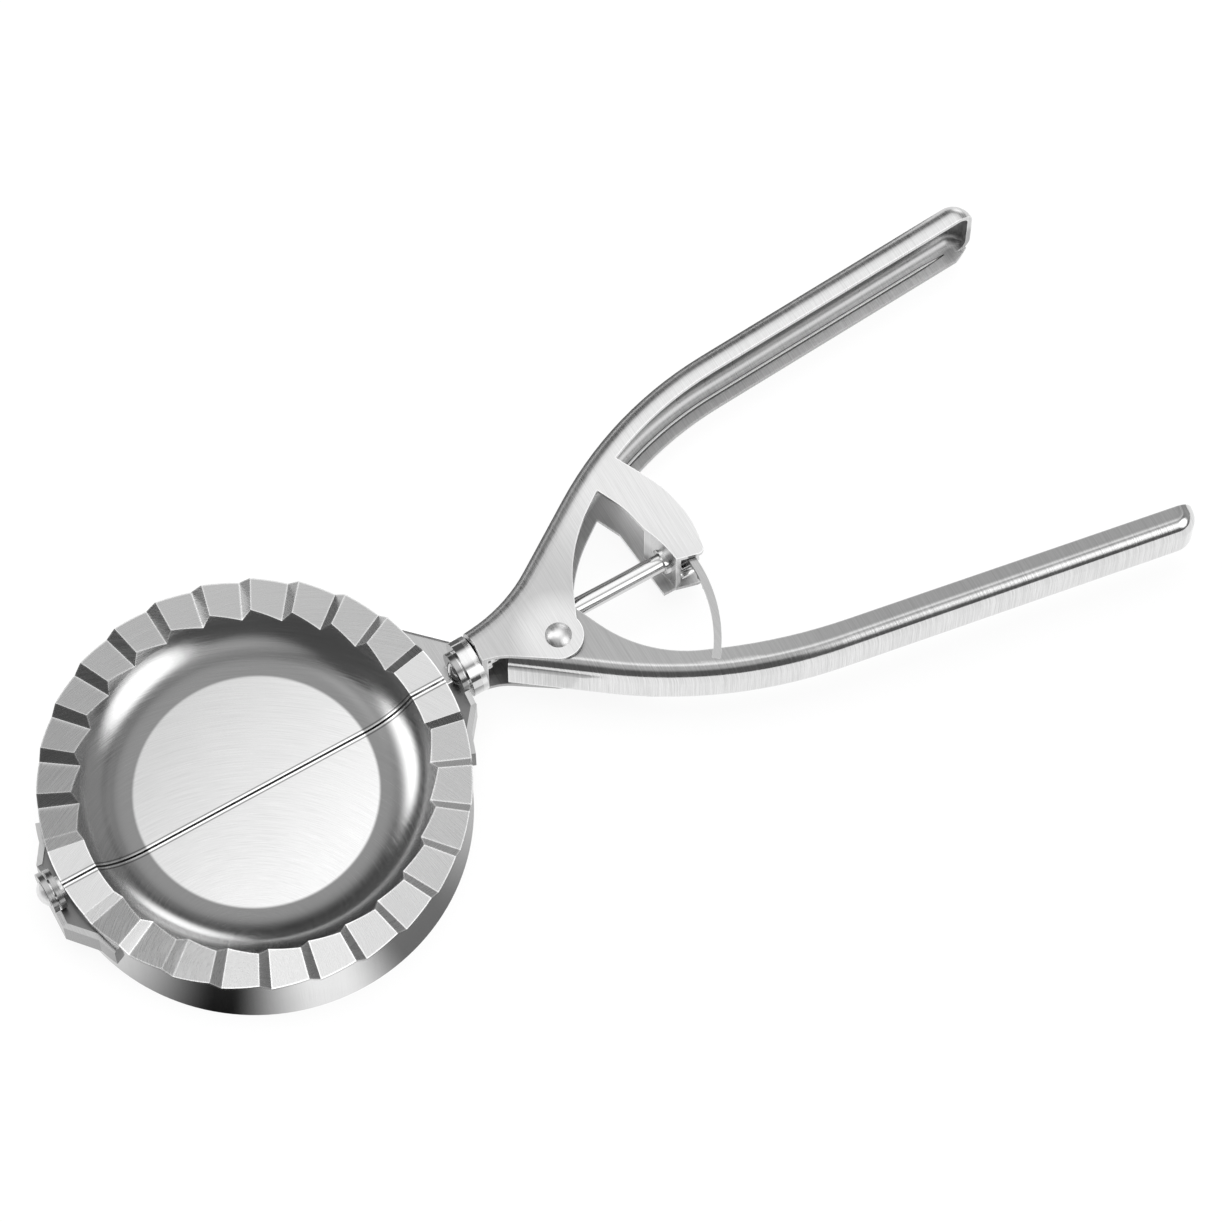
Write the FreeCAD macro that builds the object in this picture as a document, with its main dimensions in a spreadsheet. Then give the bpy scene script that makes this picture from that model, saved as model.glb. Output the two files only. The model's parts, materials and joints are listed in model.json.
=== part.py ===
"""Plier-handled dumpling maker in stainless steel.

A round pleated mould is split on a diameter. The far half is fixed to the upper handle. The near
half turns with a shaft on the split line. An arc rack on the lower handle drives a pinion on that
shaft, so squeezing the handles folds the near half over onto the far half. A torsion spring round
the handle rivet opens it again.

Frame: +X runs along the hinge line from the mould to the handles, +Y to the fixed half, +Z up.
The origin is the centre of the mould's lower edge. Millimetres and degrees.
"""
import FreeCAD, Part
import Sketcher
import math
import os
import re
from types import SimpleNamespace
from FreeCAD import Rotation, Vector

# Driving dimensions: alias, value, meaning.
SIZES = (
    ("rim_radius", 45.0, "outer radius of the pleated rim"),
    ("skirt_height", 18.0, "hinge line above the lower edge of the skirt"),
    ("skirt_inset", 0.2, "skirt wall behind the rim edge"),
    ("mould_sheet", 1.0, "thickness of the mould sheet"),
    ("split_gap", 0.5, "gap between the mould halves"),
    ("split_lip", 3.0, "depth of the turned edge along the split"),
    ("pleat_lands", 14, "wide facets on each half of the rim"),
    ("pleat_step_angle", 3.0, "angle of the narrow facet between two lands"),
    ("pleat_height", 1.1, "rise and fall of a pleat at the rim edge"),
    ("rim_gap", 0.2, "pleated surface below the hinge line, for the dough"),
    ("dish_margin", 19.0, "rim edge from the flat floor of the dish"),
    ("dish_depth", 6.0, "dish floor below the hinge line"),
    ("dish_cove_radius", 13.4, "curve from the floor to the dish wall"),
    ("dish_wall_angle", 50.0, "slope of the dish wall below the rim"),
    ("ear_sheet", 1.2, "thickness of the hinge strips"),
    ("ear_radius", 4.5, "round end of a hinge strip"),
    ("ear_depth", 9.5, "lower edge of a hinge strip below the hinge line"),
    ("ear_straight", 7.0, "flat part of a hinge strip from the hinge line"),
    ("ear_drop", 0.3, "hinge strip below the rim sheet"),
    ("ear_weld_angle", 6.0, "length of the welded end on the skirt"),
    ("joggle_run", 2.0, "least run of a strip's joggle to the skirt"),
    ("joggle_slope", 1.2, "run of the joggle for each part of its standoff"),
    ("front_standoff", 1.4, "inner front strip from the skirt"),
    ("rear_standoff", 2.4, "moving rear strip from the skirt"),
    ("washer_sheet", 0.4, "thickness of the hinge washers"),
    ("side_play", 0.05, "running gap along the hinge line"),
    ("bore_play", 0.05, "running gap round a shaft or a rivet"),
    ("seat_play", 0.02, "gap round a part that is fixed in its bore"),
    ("front_rivet_radius", 1.6, "shank of the front hinge rivet"),
    ("front_head_radius", 2.8, "domed head of the front hinge rivet"),
    ("front_head_height", 1.5, "height of that head"),
    ("front_tail_height", 0.9, "inner head of the front hinge rivet"),
    ("shaft_radius", 2.0, "drive shaft"),
    ("shaft_head_radius", 2.75, "domed end of the shaft at the mould"),
    ("shaft_head_height", 1.2, "height of that dome"),
    ("collar_radius", 6.15, "flange of the neck collar"),
    ("collar_sheet", 2.2, "thickness of that flange"),
    ("collar_wall", 0.65, "wall of the collar tube"),
    ("collar_tail", 1.5, "collar tube past the neck wall"),
    ("handle_sheet", 1.2, "thickness of the handle channels"),
    ("nest_play", 0.3, "gap between the nested handle plates"),
    ("pivot_reach", 23.7, "handle rivet from the rim edge"),
    ("pivot_offset", 6.4, "handle rivet beside the hinge line"),
    ("pivot_boss_radius", 5.3, "plate round the handle rivet"),
    ("pivot_radius", 2.0, "shank of the handle rivet"),
    ("pivot_head_radius", 2.8, "domed heads of the handle rivet"),
    ("pivot_head_height", 1.3, "height of those heads"),
    ("sleeve_wall", 0.55, "wall of the sleeve on the handle rivet"),
    ("neck_rise", 4.8, "outer edge of the neck from the hinge line"),
    ("neck_drop", 3.4, "inner edge of the neck from the hinge line"),
    ("neck_bend_radius", 35.0, "curve of the fixed handle at the neck"),
    ("neck_bend_back", 5.9, "neck corner before the rivet"),
    ("neck_bend_side", 12.25, "neck corner beside the rivet"),
    ("shoulder_radius", 85.0, "curve of the fixed handle at the shoulder"),
    ("shoulder_along", 35.5, "shoulder corner past the rivet"),
    ("shoulder_side", 39.6, "shoulder corner beside the rivet"),
    ("fixed_tip_along", 124.8, "end of the fixed handle past the rivet"),
    ("fixed_tip_side", 45.0, "end of the fixed handle beside the rivet"),
    ("fixed_flange", 5.3, "upper flange of the fixed handle channel"),
    ("lower_flange", 7.0, "lower flange of the fixed handle channel"),
    ("neck_slant", 1.0, "fall of the neck's inner edge towards the rivet"),
    ("neck_slant_run", 4.0, "run of that fall"),
    ("neck_slant_radius", 12.0, "curve of the neck's inner edge"),
    ("edge_radius", 3.8, "rounded outer edges of the handles"),
    ("tip_radius", 4.5, "rounded corner at the end of a handle"),
    ("window_along", 11.7, "window corner past the rivet"),
    ("window_side", 15.9, "window corner beside the rivet"),
    ("window_radius", 35.0, "curve of the window edge"),
    ("bracket_width", 8.7, "outer corner of the rack bracket past its wall"),
    ("bracket_taper", 2.7, "end corner of the bracket before its outer corner"),
    ("bracket_side", 12.5, "outer corner of the bracket beside the rivet"),
    ("bracket_radius", 28.0, "curve of that corner"),
    ("bracket_end_side", 0.7, "end corner of the bracket beside the rivet"),
    ("bracket_end_radius", 1.5, "rounding of that corner"),
    ("bracket_root", 8.4, "width of the bracket at the channel"),
    ("bracket_lip_along", 26.9, "inner edge of the bracket's lower plate past the rivet"),
    ("bracket_lip_slant", 1.6, "slant of that edge towards the window's end"),
    ("apex_along", 23.3, "outer end of the window past the rivet"),
    ("apex_side", 24.2, "outer end of the window beside the rivet"),
    ("bracket_end_angle", 4.5, "open end of the bracket's wall, round the rivet"),
    ("bracket_wall_angle", 23.0, "other end of that wall, round the rivet"),
    ("knee_along", 26.3, "inner corner of the bracket past the rivet"),
    ("knee_side", 17.6, "inner corner of the bracket beside the rivet"),
    ("knee_radius", 20.0, "curve of that corner"),
    ("bush_wall", 0.85, "wall of the bush in the bracket"),
    ("bush_length", 2.5, "length of that bush"),
    ("gear_module", 0.77, "size of the rack and pinion teeth"),
    ("pinion_teeth", 12, "teeth of the pinion"),
    ("drive_ratio", 7.0, "turn of the mould half per turn of the handle"),
    ("pressure_angle", 25.0, "flank angle of the teeth"),
    ("rack_addendum", 0.65, "rack tooth past the pitch line"),
    ("pinion_addendum", 0.7, "pinion tooth past the pitch line"),
    ("root_play", 0.25, "gap at the foot of the pinion teeth"),
    ("rack_headroom", 0.4, "rack plate above the tips of the pinion teeth"),
    ("rack_backlash", 0.3, "rack tooth thinner than half a pitch"),
    ("pinion_backlash", 0.1, "pinion tooth thinner than half a pitch"),
    ("rack_width", 1.6, "width of the arc rack"),
    ("rack_count", 10, "teeth on the arc rack"),
    ("rack_lead", 1.5, "teeth of the rack past the pinion at rest"),
    ("rack_end_angle", 1.2, "plain end of the rack past its last tooth"),
    ("rack_root_angle", 38.0, "welded root of the rack, round the rivet"),
    ("pinion_face", 2.8, "width of the pinion teeth"),
    ("hub_radius", 3.4, "hub of the pinion"),
    ("hub_length", 2.0, "hub past the pinion teeth"),
    ("pin_radius", 0.6, "cross pin of the pinion"),
    ("shaft_tail", 0.5, "shaft past the hub"),
    ("tail_back", 11.9, "tail of the moving handle behind the rivet"),
    ("tail_side", 0.4, "outer corner of that tail beside the rivet"),
    ("tail_width", 5.0, "width of the plates at the tail"),
    ("tail_radius", 0.8, "rounding of the inner corner"),
    ("bend_radius", 105.0, "curve of the moving handle"),
    ("bend_along", 25.1, "bend corner past the rivet"),
    ("bend_side", 27.6, "bend corner beside the rivet"),
    ("moving_tip_along", 129.0, "end of the moving handle past the rivet"),
    ("moving_tip_side", 45.6, "end of the moving handle beside the rivet"),
    ("moving_tip_flange", 5.7, "depth of the moving handle at its end"),
    ("throat_along", 13.5, "inner corner of the moving handle past the rivet"),
    ("throat_side", 12.7, "inner corner of the moving handle beside the rivet"),
    ("throat_radius", 30.0, "curve of that corner"),
    ("waist_along", 40.2, "second inner corner of the moving handle past the rivet"),
    ("waist_side", 24.1, "that corner beside the rivet"),
    ("waist_radius", 120.0, "curve of that corner"),
    ("spring_wire", 1.0, "wire of the return spring"),
    ("spring_play", 0.2, "coils from the sleeve"),
    ("spring_pitch", 1.5, "rise of one coil"),
    ("spring_turns", 4, "whole coils"),
    ("spring_leg_angle", 70.0, "legs of the spring from the hinge line"),
    ("spring_seat", 0.3, "leg end from the channel wall"),
)

doc = FreeCAD.newDocument("dumpling_maker")
sheet = doc.addObject("Spreadsheet::Sheet", "Sizes")
for row, (alias, number, meaning) in enumerate(SIZES, start=1):
    sheet.set(f"A{row}", meaning)
    sheet.set(f"B{row}", str(number))
    sheet.setAlias(f"B{row}", alias)
doc.recompute()

# The same dimensions as numbers, for outlines that are worked out point by point.
S = SimpleNamespace(**{alias: float(sheet.get(alias)) for alias, number, meaning in SIZES})
nodes = {}


def formula(text):
    """Expression text in which each dimension's name points to its cell."""
    aliases = {alias for alias, number, meaning in SIZES}
    return re.sub(r"[a-z_]+", lambda m: f"Sizes.{m[0]}" if m[0] in aliases else m[0], text)


def bind(item, **formulas):
    """Tie properties to the sheet. A double underscore in a name stands for a dot."""
    for name, text in formulas.items():
        item.setExpression(name.replace("__", "."), formula(text))


# Places that several pieces share: a formula for bindings and its number.
SKIRT_RADIUS = "(rim_radius - skirt_inset)"
skirt_radius = S.rim_radius - S.skirt_inset
FRONT_INNER = f"({SKIRT_RADIUS} + front_standoff)"
front_inner = skirt_radius + S.front_standoff
front_outer = front_inner + S.ear_sheet + S.washer_sheet + S.side_play
REAR_INNER = f"({SKIRT_RADIUS} + rear_standoff)"
rear_inner = skirt_radius + S.rear_standoff
COLLAR_X = f"({REAR_INNER} + ear_sheet + washer_sheet + side_play)"
collar_x = rear_inner + S.ear_sheet + S.washer_sheet + S.side_play
REAR_OUTER = f"({COLLAR_X} + collar_sheet)"
rear_outer = collar_x + S.collar_sheet
NECK_X = f"({REAR_OUTER} + ear_sheet)"
neck_x = rear_outer + S.ear_sheet
PIVOT_X = "(rim_radius + pivot_reach)"
pivot_x = S.rim_radius + S.pivot_reach
COLLAR_TUBE = "(shaft_radius + bore_play + collar_wall)"
collar_tube = S.shaft_radius + S.bore_play + S.collar_wall
PITCH_RADIUS = "(gear_module * pinion_teeth / 2)"
pitch_radius = S.gear_module * S.pinion_teeth / 2
MOVING_INSIDE = f"(2 * ({PITCH_RADIUS} + pinion_addendum + rack_headroom))"
moving_inside = 2 * (pitch_radius + S.pinion_addendum + S.rack_headroom)
MOVING_HEIGHT = f"({MOVING_INSIDE} + 2 * handle_sheet)"
moving_height = moving_inside + 2 * S.handle_sheet
FRAME_INSIDE = f"({MOVING_HEIGHT} + 2 * nest_play)"
FRAME_HEIGHT = f"({FRAME_INSIDE} + 2 * handle_sheet)"
frame_height = moving_height + 2 * S.nest_play + 2 * S.handle_sheet
MESH_ARM = f"({PITCH_RADIUS} * drive_ratio)"
mesh_arm = pitch_radius * S.drive_ratio
tooth_angle = 360 / (S.pinion_teeth * S.drive_ratio)
rack_middle = math.hypot(mesh_arm, S.pivot_offset)
rack_inside = rack_middle - S.rack_width / 2
wall_outside = rack_inside - S.handle_sheet
wall_inside = wall_outside - S.handle_sheet
pinion_start = pivot_x + mesh_arm - S.pinion_face / 2
PINION_X = f"({PIVOT_X} + {MESH_ARM} - pinion_face / 2)"


def polar(radius, degrees, centre=Vector()):
    turn = math.radians(degrees)
    return centre + Vector(radius * math.cos(turn), radius * math.sin(turn), 0)


def rounded_outline(corners):
    """Closed outline through corners (x, y, radius): straight sides joined by tangent arcs."""
    joints = []
    count = len(corners)
    for index, (x, y, radius) in enumerate(corners):
        here = Vector(x, y, 0)
        back = (Vector(*corners[index - 1][:2], 0) - here).normalize()
        ahead = (Vector(*corners[(index + 1) % count][:2], 0) - here).normalize()
        if radius <= 0:
            joints.append((here, None, here))
            continue
        half = back.getAngle(ahead) / 2
        reach = radius / math.tan(half)
        middle = here + (back + ahead).normalize() * (radius / math.sin(half) - radius)
        joints.append((here + back * reach, middle, here + ahead * reach))
    geometry = []
    for index, (start, middle, end) in enumerate(joints):
        if middle is not None:
            geometry.append(Part.Arc(start, middle, end))
        geometry.append(Part.LineSegment(end, joints[(index + 1) % count][0]))
    return geometry


def parallel(corners, distance):
    """Corners of the open outline that runs beside the given one, to its right."""
    points = [Vector(x, y, 0) for x, y, radius in corners]
    sides = [(b - a).normalize() for a, b in zip(points, points[1:])]
    rights = [Vector(side.y, -side.x, 0) for side in sides]
    moved = [points[0] + rights[0] * distance]
    radii = [0]
    for index in range(1, len(points) - 1):
        before, after = rights[index - 1], rights[index]
        moved.append(points[index] + (before + after) * (distance / (1 + before.dot(after))))
        left_turn = sides[index - 1].cross(sides[index]).z > 0
        radii.append(corners[index][2] + (distance if left_turn else -distance))
    moved.append(points[-1] + rights[-1] * distance)
    radii.append(0)
    return [(point.x, point.y, radius) for point, radius in zip(moved, radii)]


def longer(corners, distance):
    """The open outline with both its ends drawn out."""
    points = [Vector(x, y, 0) for x, y, radius in corners]
    first = points[0] + (points[0] - points[1]).normalize() * distance
    last = points[-1] + (points[-1] - points[-2]).normalize() * distance
    return [(first.x, first.y, 0)] + corners[1:-1] + [(last.x, last.y, 0)]


def ring_sector(inside, outside, start, end):
    """Outline of a band round the origin."""
    middle = (start + end) / 2
    return [
        Part.Arc(polar(outside, start), polar(outside, middle), polar(outside, end)),
        Part.LineSegment(polar(outside, end), polar(inside, end)),
        Part.Arc(polar(inside, end), polar(inside, middle), polar(inside, start)),
        Part.LineSegment(polar(inside, start), polar(outside, start)),
    ]


def origin_feature(body, role):
    return next(item for item in body.Origin.OriginFeatures if item.Role == role)


def new_body(label):
    return doc.addObject("PartDesign::Body", label)


def new_sketch(body, role, geometry, shift="0"):
    """Sketch on an origin plane of the body, moved along the plane's normal."""
    sketch = body.newObject("Sketcher::SketchObject", "outline")
    sketch.AttachmentSupport = [(origin_feature(body, role), "")]
    sketch.MapMode = "FlatFace"
    sketch.setExpression("AttachmentOffset.Base.z", formula(f"1 mm * ({shift})"))
    sketch.addGeometry(geometry, False)
    return sketch


def circle_sketch(body, role, radius, number, centre=Vector(), shift="0"):
    """Sketch of one circle whose radius is tied to the sheet."""
    sketch = new_sketch(body, role, [Part.Circle(centre, Vector(0, 0, 1), number)], shift)
    radius_constraint = sketch.addConstraint(Sketcher.Constraint("Radius", 0, number))
    sketch.setExpression(f"Constraints[{radius_constraint}]", formula(f"1 mm * ({radius})"))
    return sketch


def feature(body, kind, sketch, length, symmetric=False, reverse=False):
    """Pad or Pocket of a sketch."""
    item = body.newObject(f"PartDesign::{kind}", kind)
    item.Profile = sketch
    item.Midplane = symmetric
    item.Reversed = reverse
    bind(item, Length=f"1 mm * ({length})")
    return item


def revolution(body, sketch, axis_role):
    item = body.newObject("PartDesign::Revolution", "turned")
    item.Profile = sketch
    item.ReferenceAxis = (origin_feature(body, axis_role), [""])
    item.Angle = 360
    return item


def fillet(body, base, radius, wanted):
    """Round the edges of the base feature that the test picks."""
    doc.recompute()
    names = [f"Edge{number}" for number, edge in enumerate(base.Shape.Edges, 1) if wanted(edge)]
    item = body.newObject("PartDesign::Fillet", "rounded")
    item.Base = (base, names)
    bind(item, Radius=f"1 mm * ({radius})")
    return item


def follows(edge, wire, height):
    """True for an edge that lies on the wire, moved up or down to that height."""
    middle = edge.valueAt((edge.FirstParameter + edge.LastParameter) / 2)
    if abs(abs(middle.z) - height) > 0.001:
        return False
    flat = Part.Vertex(Vector(middle.x, middle.y, 0))
    return flat.distToShape(wire)[0] < 0.001


def wire_of(geometry):
    return Part.Wire([item.toShape() for item in geometry])


def finish(label, item, x="0", y="0"):
    """Name a sub-part and set it in the frame, with the hinge line at the skirt's height."""
    item.Label = label
    bind(
        item,
        Placement__Base__x=f"1 mm * ({x})",
        Placement__Base__y=f"1 mm * ({y})",
        Placement__Base__z="1 mm * skirt_height",
    )
    nodes[label] = item


def cylinder(name, radius, height, along="z", base=("0", "0", "0")):
    """Cylinder along +Z or +X from a base point, all tied to the sheet."""
    item = doc.addObject("Part::Cylinder", name)
    if along == "x":
        item.Placement.Rotation = Rotation(Vector(0, 1, 0), 90)
    bind(item, Radius=f"1 mm * ({radius})", Height=f"1 mm * ({height})")
    for axis, text in zip("xyz", base):
        item.setExpression(f"Placement.Base.{axis}", formula(f"1 mm * ({text})"))
    return item


def cut(name, base, tool):
    item = doc.addObject("Part::Cut", name)
    item.Base = base
    item.Tool = tool
    return item


def common(name, *shapes):
    item = doc.addObject("Part::MultiCommon", name)
    item.Shapes = list(shapes)
    return item


def tube(label, outside, inside, length, along, base):
    """Round tube or washer."""
    outer = cylinder(f"{label}_outside", outside, length, along, base)
    inner = cylinder(f"{label}_bore", inside, length, along, base)
    return cut(label, outer, inner)


def pleat_breaks():
    """Angles and heights at which the pleated surface bends, from the hinge line round one half."""
    lands = int(S.pleat_lands)
    land_angle = (180 - (lands - 1) * S.pleat_step_angle) / lands
    angles = []
    heights = []
    for land in range(lands):
        start = land * (land_angle + S.pleat_step_angle)
        end_land = land in (0, lands - 1)
        angles += [start, start + land_angle]
        heights += [0, 0] if end_land else [-S.pleat_height, S.pleat_height]
    return angles, heights


def pleat_fan(half, drop):
    """Solid under one half's pleats: flat facets that fan out from the mould's centre."""
    reach = 1.2 * S.rim_radius
    floor = -2 * S.skirt_height
    angles, heights = pleat_breaks()
    edge = []
    for angle, height in zip(angles, heights):
        rise = Vector(0, 0, half * height * reach / S.rim_radius - drop)
        edge.append(polar(reach, half * angle) + rise)
    low = [Vector(point.x, point.y, floor) for point in edge]
    centre = Vector(0, 0, -drop)
    outlines = [[edge[0], centre, edge[-1], low[-1], low[0]], low]
    for index in range(len(edge) - 1):
        outlines.append([centre, edge[index], edge[index + 1]])
        outlines.append([edge[index], edge[index + 1], low[index + 1], low[index]])
    faces = [Part.Face(Part.makePolygon(points + points[:1])) for points in outlines]
    solid = Part.Solid(Part.Shell(faces))
    if solid.Volume < 0:
        solid.reverse()
    item = doc.addObject("Part::Feature", "pleat_fan")
    item.Shape = solid
    return item


def dish_void(grow):
    """Space above the dish, or with a sheet's thickness added, above its underside."""
    slope = math.radians(S.dish_wall_angle)
    top = S.dish_depth
    flat_radius = S.rim_radius - S.dish_margin
    centre = Vector(flat_radius, S.dish_cove_radius - S.dish_depth, 0)
    radius = S.dish_cove_radius + grow
    floor = -S.dish_depth - grow
    cove_start = Vector(flat_radius, floor, 0)
    cove_middle = centre + Vector(math.sin(slope / 2), -math.cos(slope / 2), 0) * radius
    cove_end = centre + Vector(math.sin(slope), -math.cos(slope), 0) * radius
    wall_top = Vector(cove_end.x + (top - cove_end.y) / math.tan(slope), top, 0)
    body = new_body("dish_void")
    outline = [
        Part.LineSegment(Vector(0, floor, 0), cove_start),
        Part.Arc(cove_start, cove_middle, cove_end),
        Part.LineSegment(cove_end, wall_top),
        Part.LineSegment(wall_top, Vector(0, top, 0)),
        Part.LineSegment(Vector(0, top, 0), Vector(0, floor, 0)),
    ]
    revolution(body, new_sketch(body, "XZ_Plane", outline), "Z_Axis")
    return body


def half_block(half):
    """Everything on one side of the split."""
    block = doc.addObject("Part::Box", "half_block")
    bind(
        block,
        Length="1 mm * 3 * rim_radius",
        Width="1 mm * 2 * rim_radius",
        Height="1 mm * 4 * skirt_height",
        Placement__Base__x="-1.5 mm * rim_radius",
        Placement__Base__y="0.5 mm * split_gap" if half > 0
        else "-0.5 mm * split_gap - 2 mm * rim_radius",
        Placement__Base__z="-2 mm * skirt_height",
    )
    return block


def split_edge(half):
    """Slab along the split, one sheet thick, inside the skirt."""
    slab = doc.addObject("Part::Box", "split_slab")
    bind(
        slab,
        Length="1 mm * 2 * rim_radius",
        Width="1 mm * mould_sheet",
        Height="1 mm * 2 * skirt_height",
        Placement__Base__x="-1 mm * rim_radius",
        Placement__Base__y="0.5 mm * split_gap" if half > 0
        else "-0.5 mm * split_gap - 1 mm * mould_sheet",
        Placement__Base__z="-1 mm * skirt_height",
    )
    inside = cylinder(
        "split_inside", f"{SKIRT_RADIUS} - mould_sheet", "2 * skirt_height", "z", ("0", "0", "-skirt_height"),
    )
    return common("split_edge", slab, inside)


def mould_half(name, half, void, void_below, void_lip):
    """Pleated dish of one half, one sheet thick, its turned edge, and the skirt wall under its rim."""
    fan = pleat_fan(half, S.rim_gap)
    fan_below = pleat_fan(half, S.rim_gap + S.mould_sheet)
    side = half_block(half)
    low = "-skirt_height"
    round_edge = cylinder("rim_edge", "rim_radius", "2 * skirt_height", "z", ("0", "0", low))
    blank = common("mould_blank", fan, round_edge, side)
    dished = cut("mould_dished", blank, void)
    below = cut("mould_below", fan_below, void_below)
    pressed = cut("mould_pressed", dished, below)
    lip_below = cut("lip_below", pleat_fan(half, S.rim_gap + S.split_lip), void_lip)
    edge = cut("turned_edge", common("edge_blank", dished, split_edge(half)), lip_below)
    plate = doc.addObject("Part::Fuse", "mould_plate")
    plate.Base = pressed
    plate.Tool = edge
    finish(f"{name}_mould_plate", plate)
    ring = tube(
        "skirt_ring", SKIRT_RADIUS, f"{SKIRT_RADIUS} - mould_sheet", "2 * skirt_height", "z",
        ("0", "0", low),
    )
    finish(f"{name}_mould_skirt", common("mould_skirt", ring, fan_below, side))


# Places round a hinge strip's eye at which its arm begins, seen from the side.
EYE_UPPER_JOIN = -10
EYE_LOWER_JOIN = -100


def ear(label, end, half, inner_face, eye_radius, eye_formula, bore, bore_number):
    """Hinge strip: an eye on the hinge line, a joggle and an end welded to the skirt."""
    sheet_size = S.ear_sheet
    outer_face = inner_face + sheet_size

    def at(x, y):
        return Vector(end * x, half * y, 0)

    def on_skirt(radius, degrees):
        point = polar(radius, degrees)
        return at(point.x, point.y)

    # The joggle meets the skirt further round when the strip stands further off.
    weld_side = S.ear_straight + S.joggle_run + S.joggle_slope * (inner_face - skirt_radius)
    weld_start = math.degrees(math.asin(weld_side / skirt_radius))
    weld_end = weld_start + S.ear_weld_angle
    knee = Vector(inner_face, S.ear_straight, 0)
    foot = polar(skirt_radius, weld_start)
    slope = (foot - knee).normalize()
    outward = Vector(slope.y, -slope.x, 0) * sheet_size
    outer_knee = knee + outward
    outer_knee += slope * ((outer_face - outer_knee.x) / slope.x)
    outer_foot_point = foot + outward
    outer_foot = math.degrees(math.atan2(outer_foot_point.y, outer_foot_point.x))
    outside = skirt_radius + sheet_size
    weld_middle = (weld_start + weld_end) / 2
    plan = [
        Part.LineSegment(at(inner_face, -eye_radius), at(knee.x, knee.y)),
        Part.LineSegment(at(knee.x, knee.y), at(foot.x, foot.y)),
        Part.Arc(
            at(foot.x, foot.y),
            on_skirt(skirt_radius, weld_middle),
            on_skirt(skirt_radius, weld_end),
        ),
        Part.LineSegment(on_skirt(skirt_radius, weld_end), on_skirt(outside, weld_end)),
        Part.Arc(
            on_skirt(outside, weld_end),
            on_skirt(outside, (outer_foot + weld_end) / 2),
            on_skirt(outside, outer_foot),
        ),
        Part.LineSegment(on_skirt(outside, outer_foot), at(outer_face, outer_knee.y)),
        Part.LineSegment(at(outer_face, outer_knee.y), at(outer_face, -eye_radius)),
        Part.LineSegment(at(outer_face, -eye_radius), at(inner_face, -eye_radius)),
    ]
    body = new_body(label)
    strip = new_sketch(body, "XY_Plane", plan, "-ear_depth")
    feature(body, "Pad", strip, f"ear_depth + {eye_formula}")

    # Side view: the round eye runs into an arm that stays below the hinge line.
    arm_top = -(S.pleat_height + S.rim_gap + S.mould_sheet + S.ear_drop)
    far = 2 * skirt_radius
    upper = polar(eye_radius, EYE_UPPER_JOIN)
    lower = polar(eye_radius, EYE_LOWER_JOIN)
    crown = polar(eye_radius, (EYE_UPPER_JOIN + EYE_LOWER_JOIN) / 2 + 180)

    def seen(y, z):
        return Vector(half * y, z, 0)

    points = [
        seen(lower.x, lower.y),
        seen(S.ear_straight, -S.ear_depth),
        seen(far, -S.ear_depth),
        seen(far, arm_top),
        seen(S.ear_straight, arm_top),
        seen(upper.x, upper.y),
    ]
    profile = [Part.LineSegment(a, b) for a, b in zip(points, points[1:])]
    profile.append(Part.Arc(points[-1], seen(crown.x, crown.y), points[0]))
    wide = 3 * far
    frame = [(-wide, -far, 0), (wide, -far, 0), (wide, far, 0), (-wide, far, 0)]
    around = new_sketch(body, "YZ_Plane", rounded_outline(frame) + profile)
    feature(body, "Pocket", around, "6 * rim_radius", symmetric=True)
    hole = circle_sketch(body, "YZ_Plane", bore, bore_number)
    feature(body, "Pocket", hole, "6 * rim_radius", symmetric=True)
    finish(label, body)


def turned(label, axis_role, outline):
    """Turned piece from half of its section."""
    body = new_body(label)
    revolution(body, new_sketch(body, "XZ_Plane", outline), axis_role)
    return body


def dome(base, tip, side):
    """Arc of a domed head from its edge to its tip on the axis."""
    height = (tip - base).Length
    radius = (side * side + height * height) / (2 * height)
    outward = (tip - base).normalize()
    centre = tip - outward * radius
    across = Vector(abs(outward.y), abs(outward.x), 0)
    half = math.asin(min(1, side / radius)) / 2
    middle = centre + outward * (radius * math.cos(half)) + across * (radius * math.sin(half))
    return Part.Arc(base + across * side, middle, tip)


def front_rivet():
    """Rivet of the front hinge, domed outside, fixed in the far half's strip."""
    tail_x = -(front_inner - S.front_tail_height)
    seat_x = -front_inner
    head_x = -(front_outer + S.ear_sheet + S.side_play)
    tip = Vector(head_x - S.front_head_height, 0, 0)
    shank = S.front_rivet_radius
    tail = (shank + S.front_head_radius) / 2
    points = [
        Vector(head_x, S.front_head_radius, 0),
        Vector(head_x, shank, 0),
        Vector(seat_x, shank, 0),
        Vector(seat_x, tail, 0),
        Vector(tail_x, tail, 0),
        Vector(tail_x, 0, 0),
        tip,
    ]
    outline = [Part.LineSegment(a, b) for a, b in zip(points, points[1:])]
    outline.append(dome(Vector(head_x, 0, 0), tip, S.front_head_radius))
    finish("front_hinge_rivet", turned("front_hinge_rivet", "X_Axis", outline))


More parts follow.
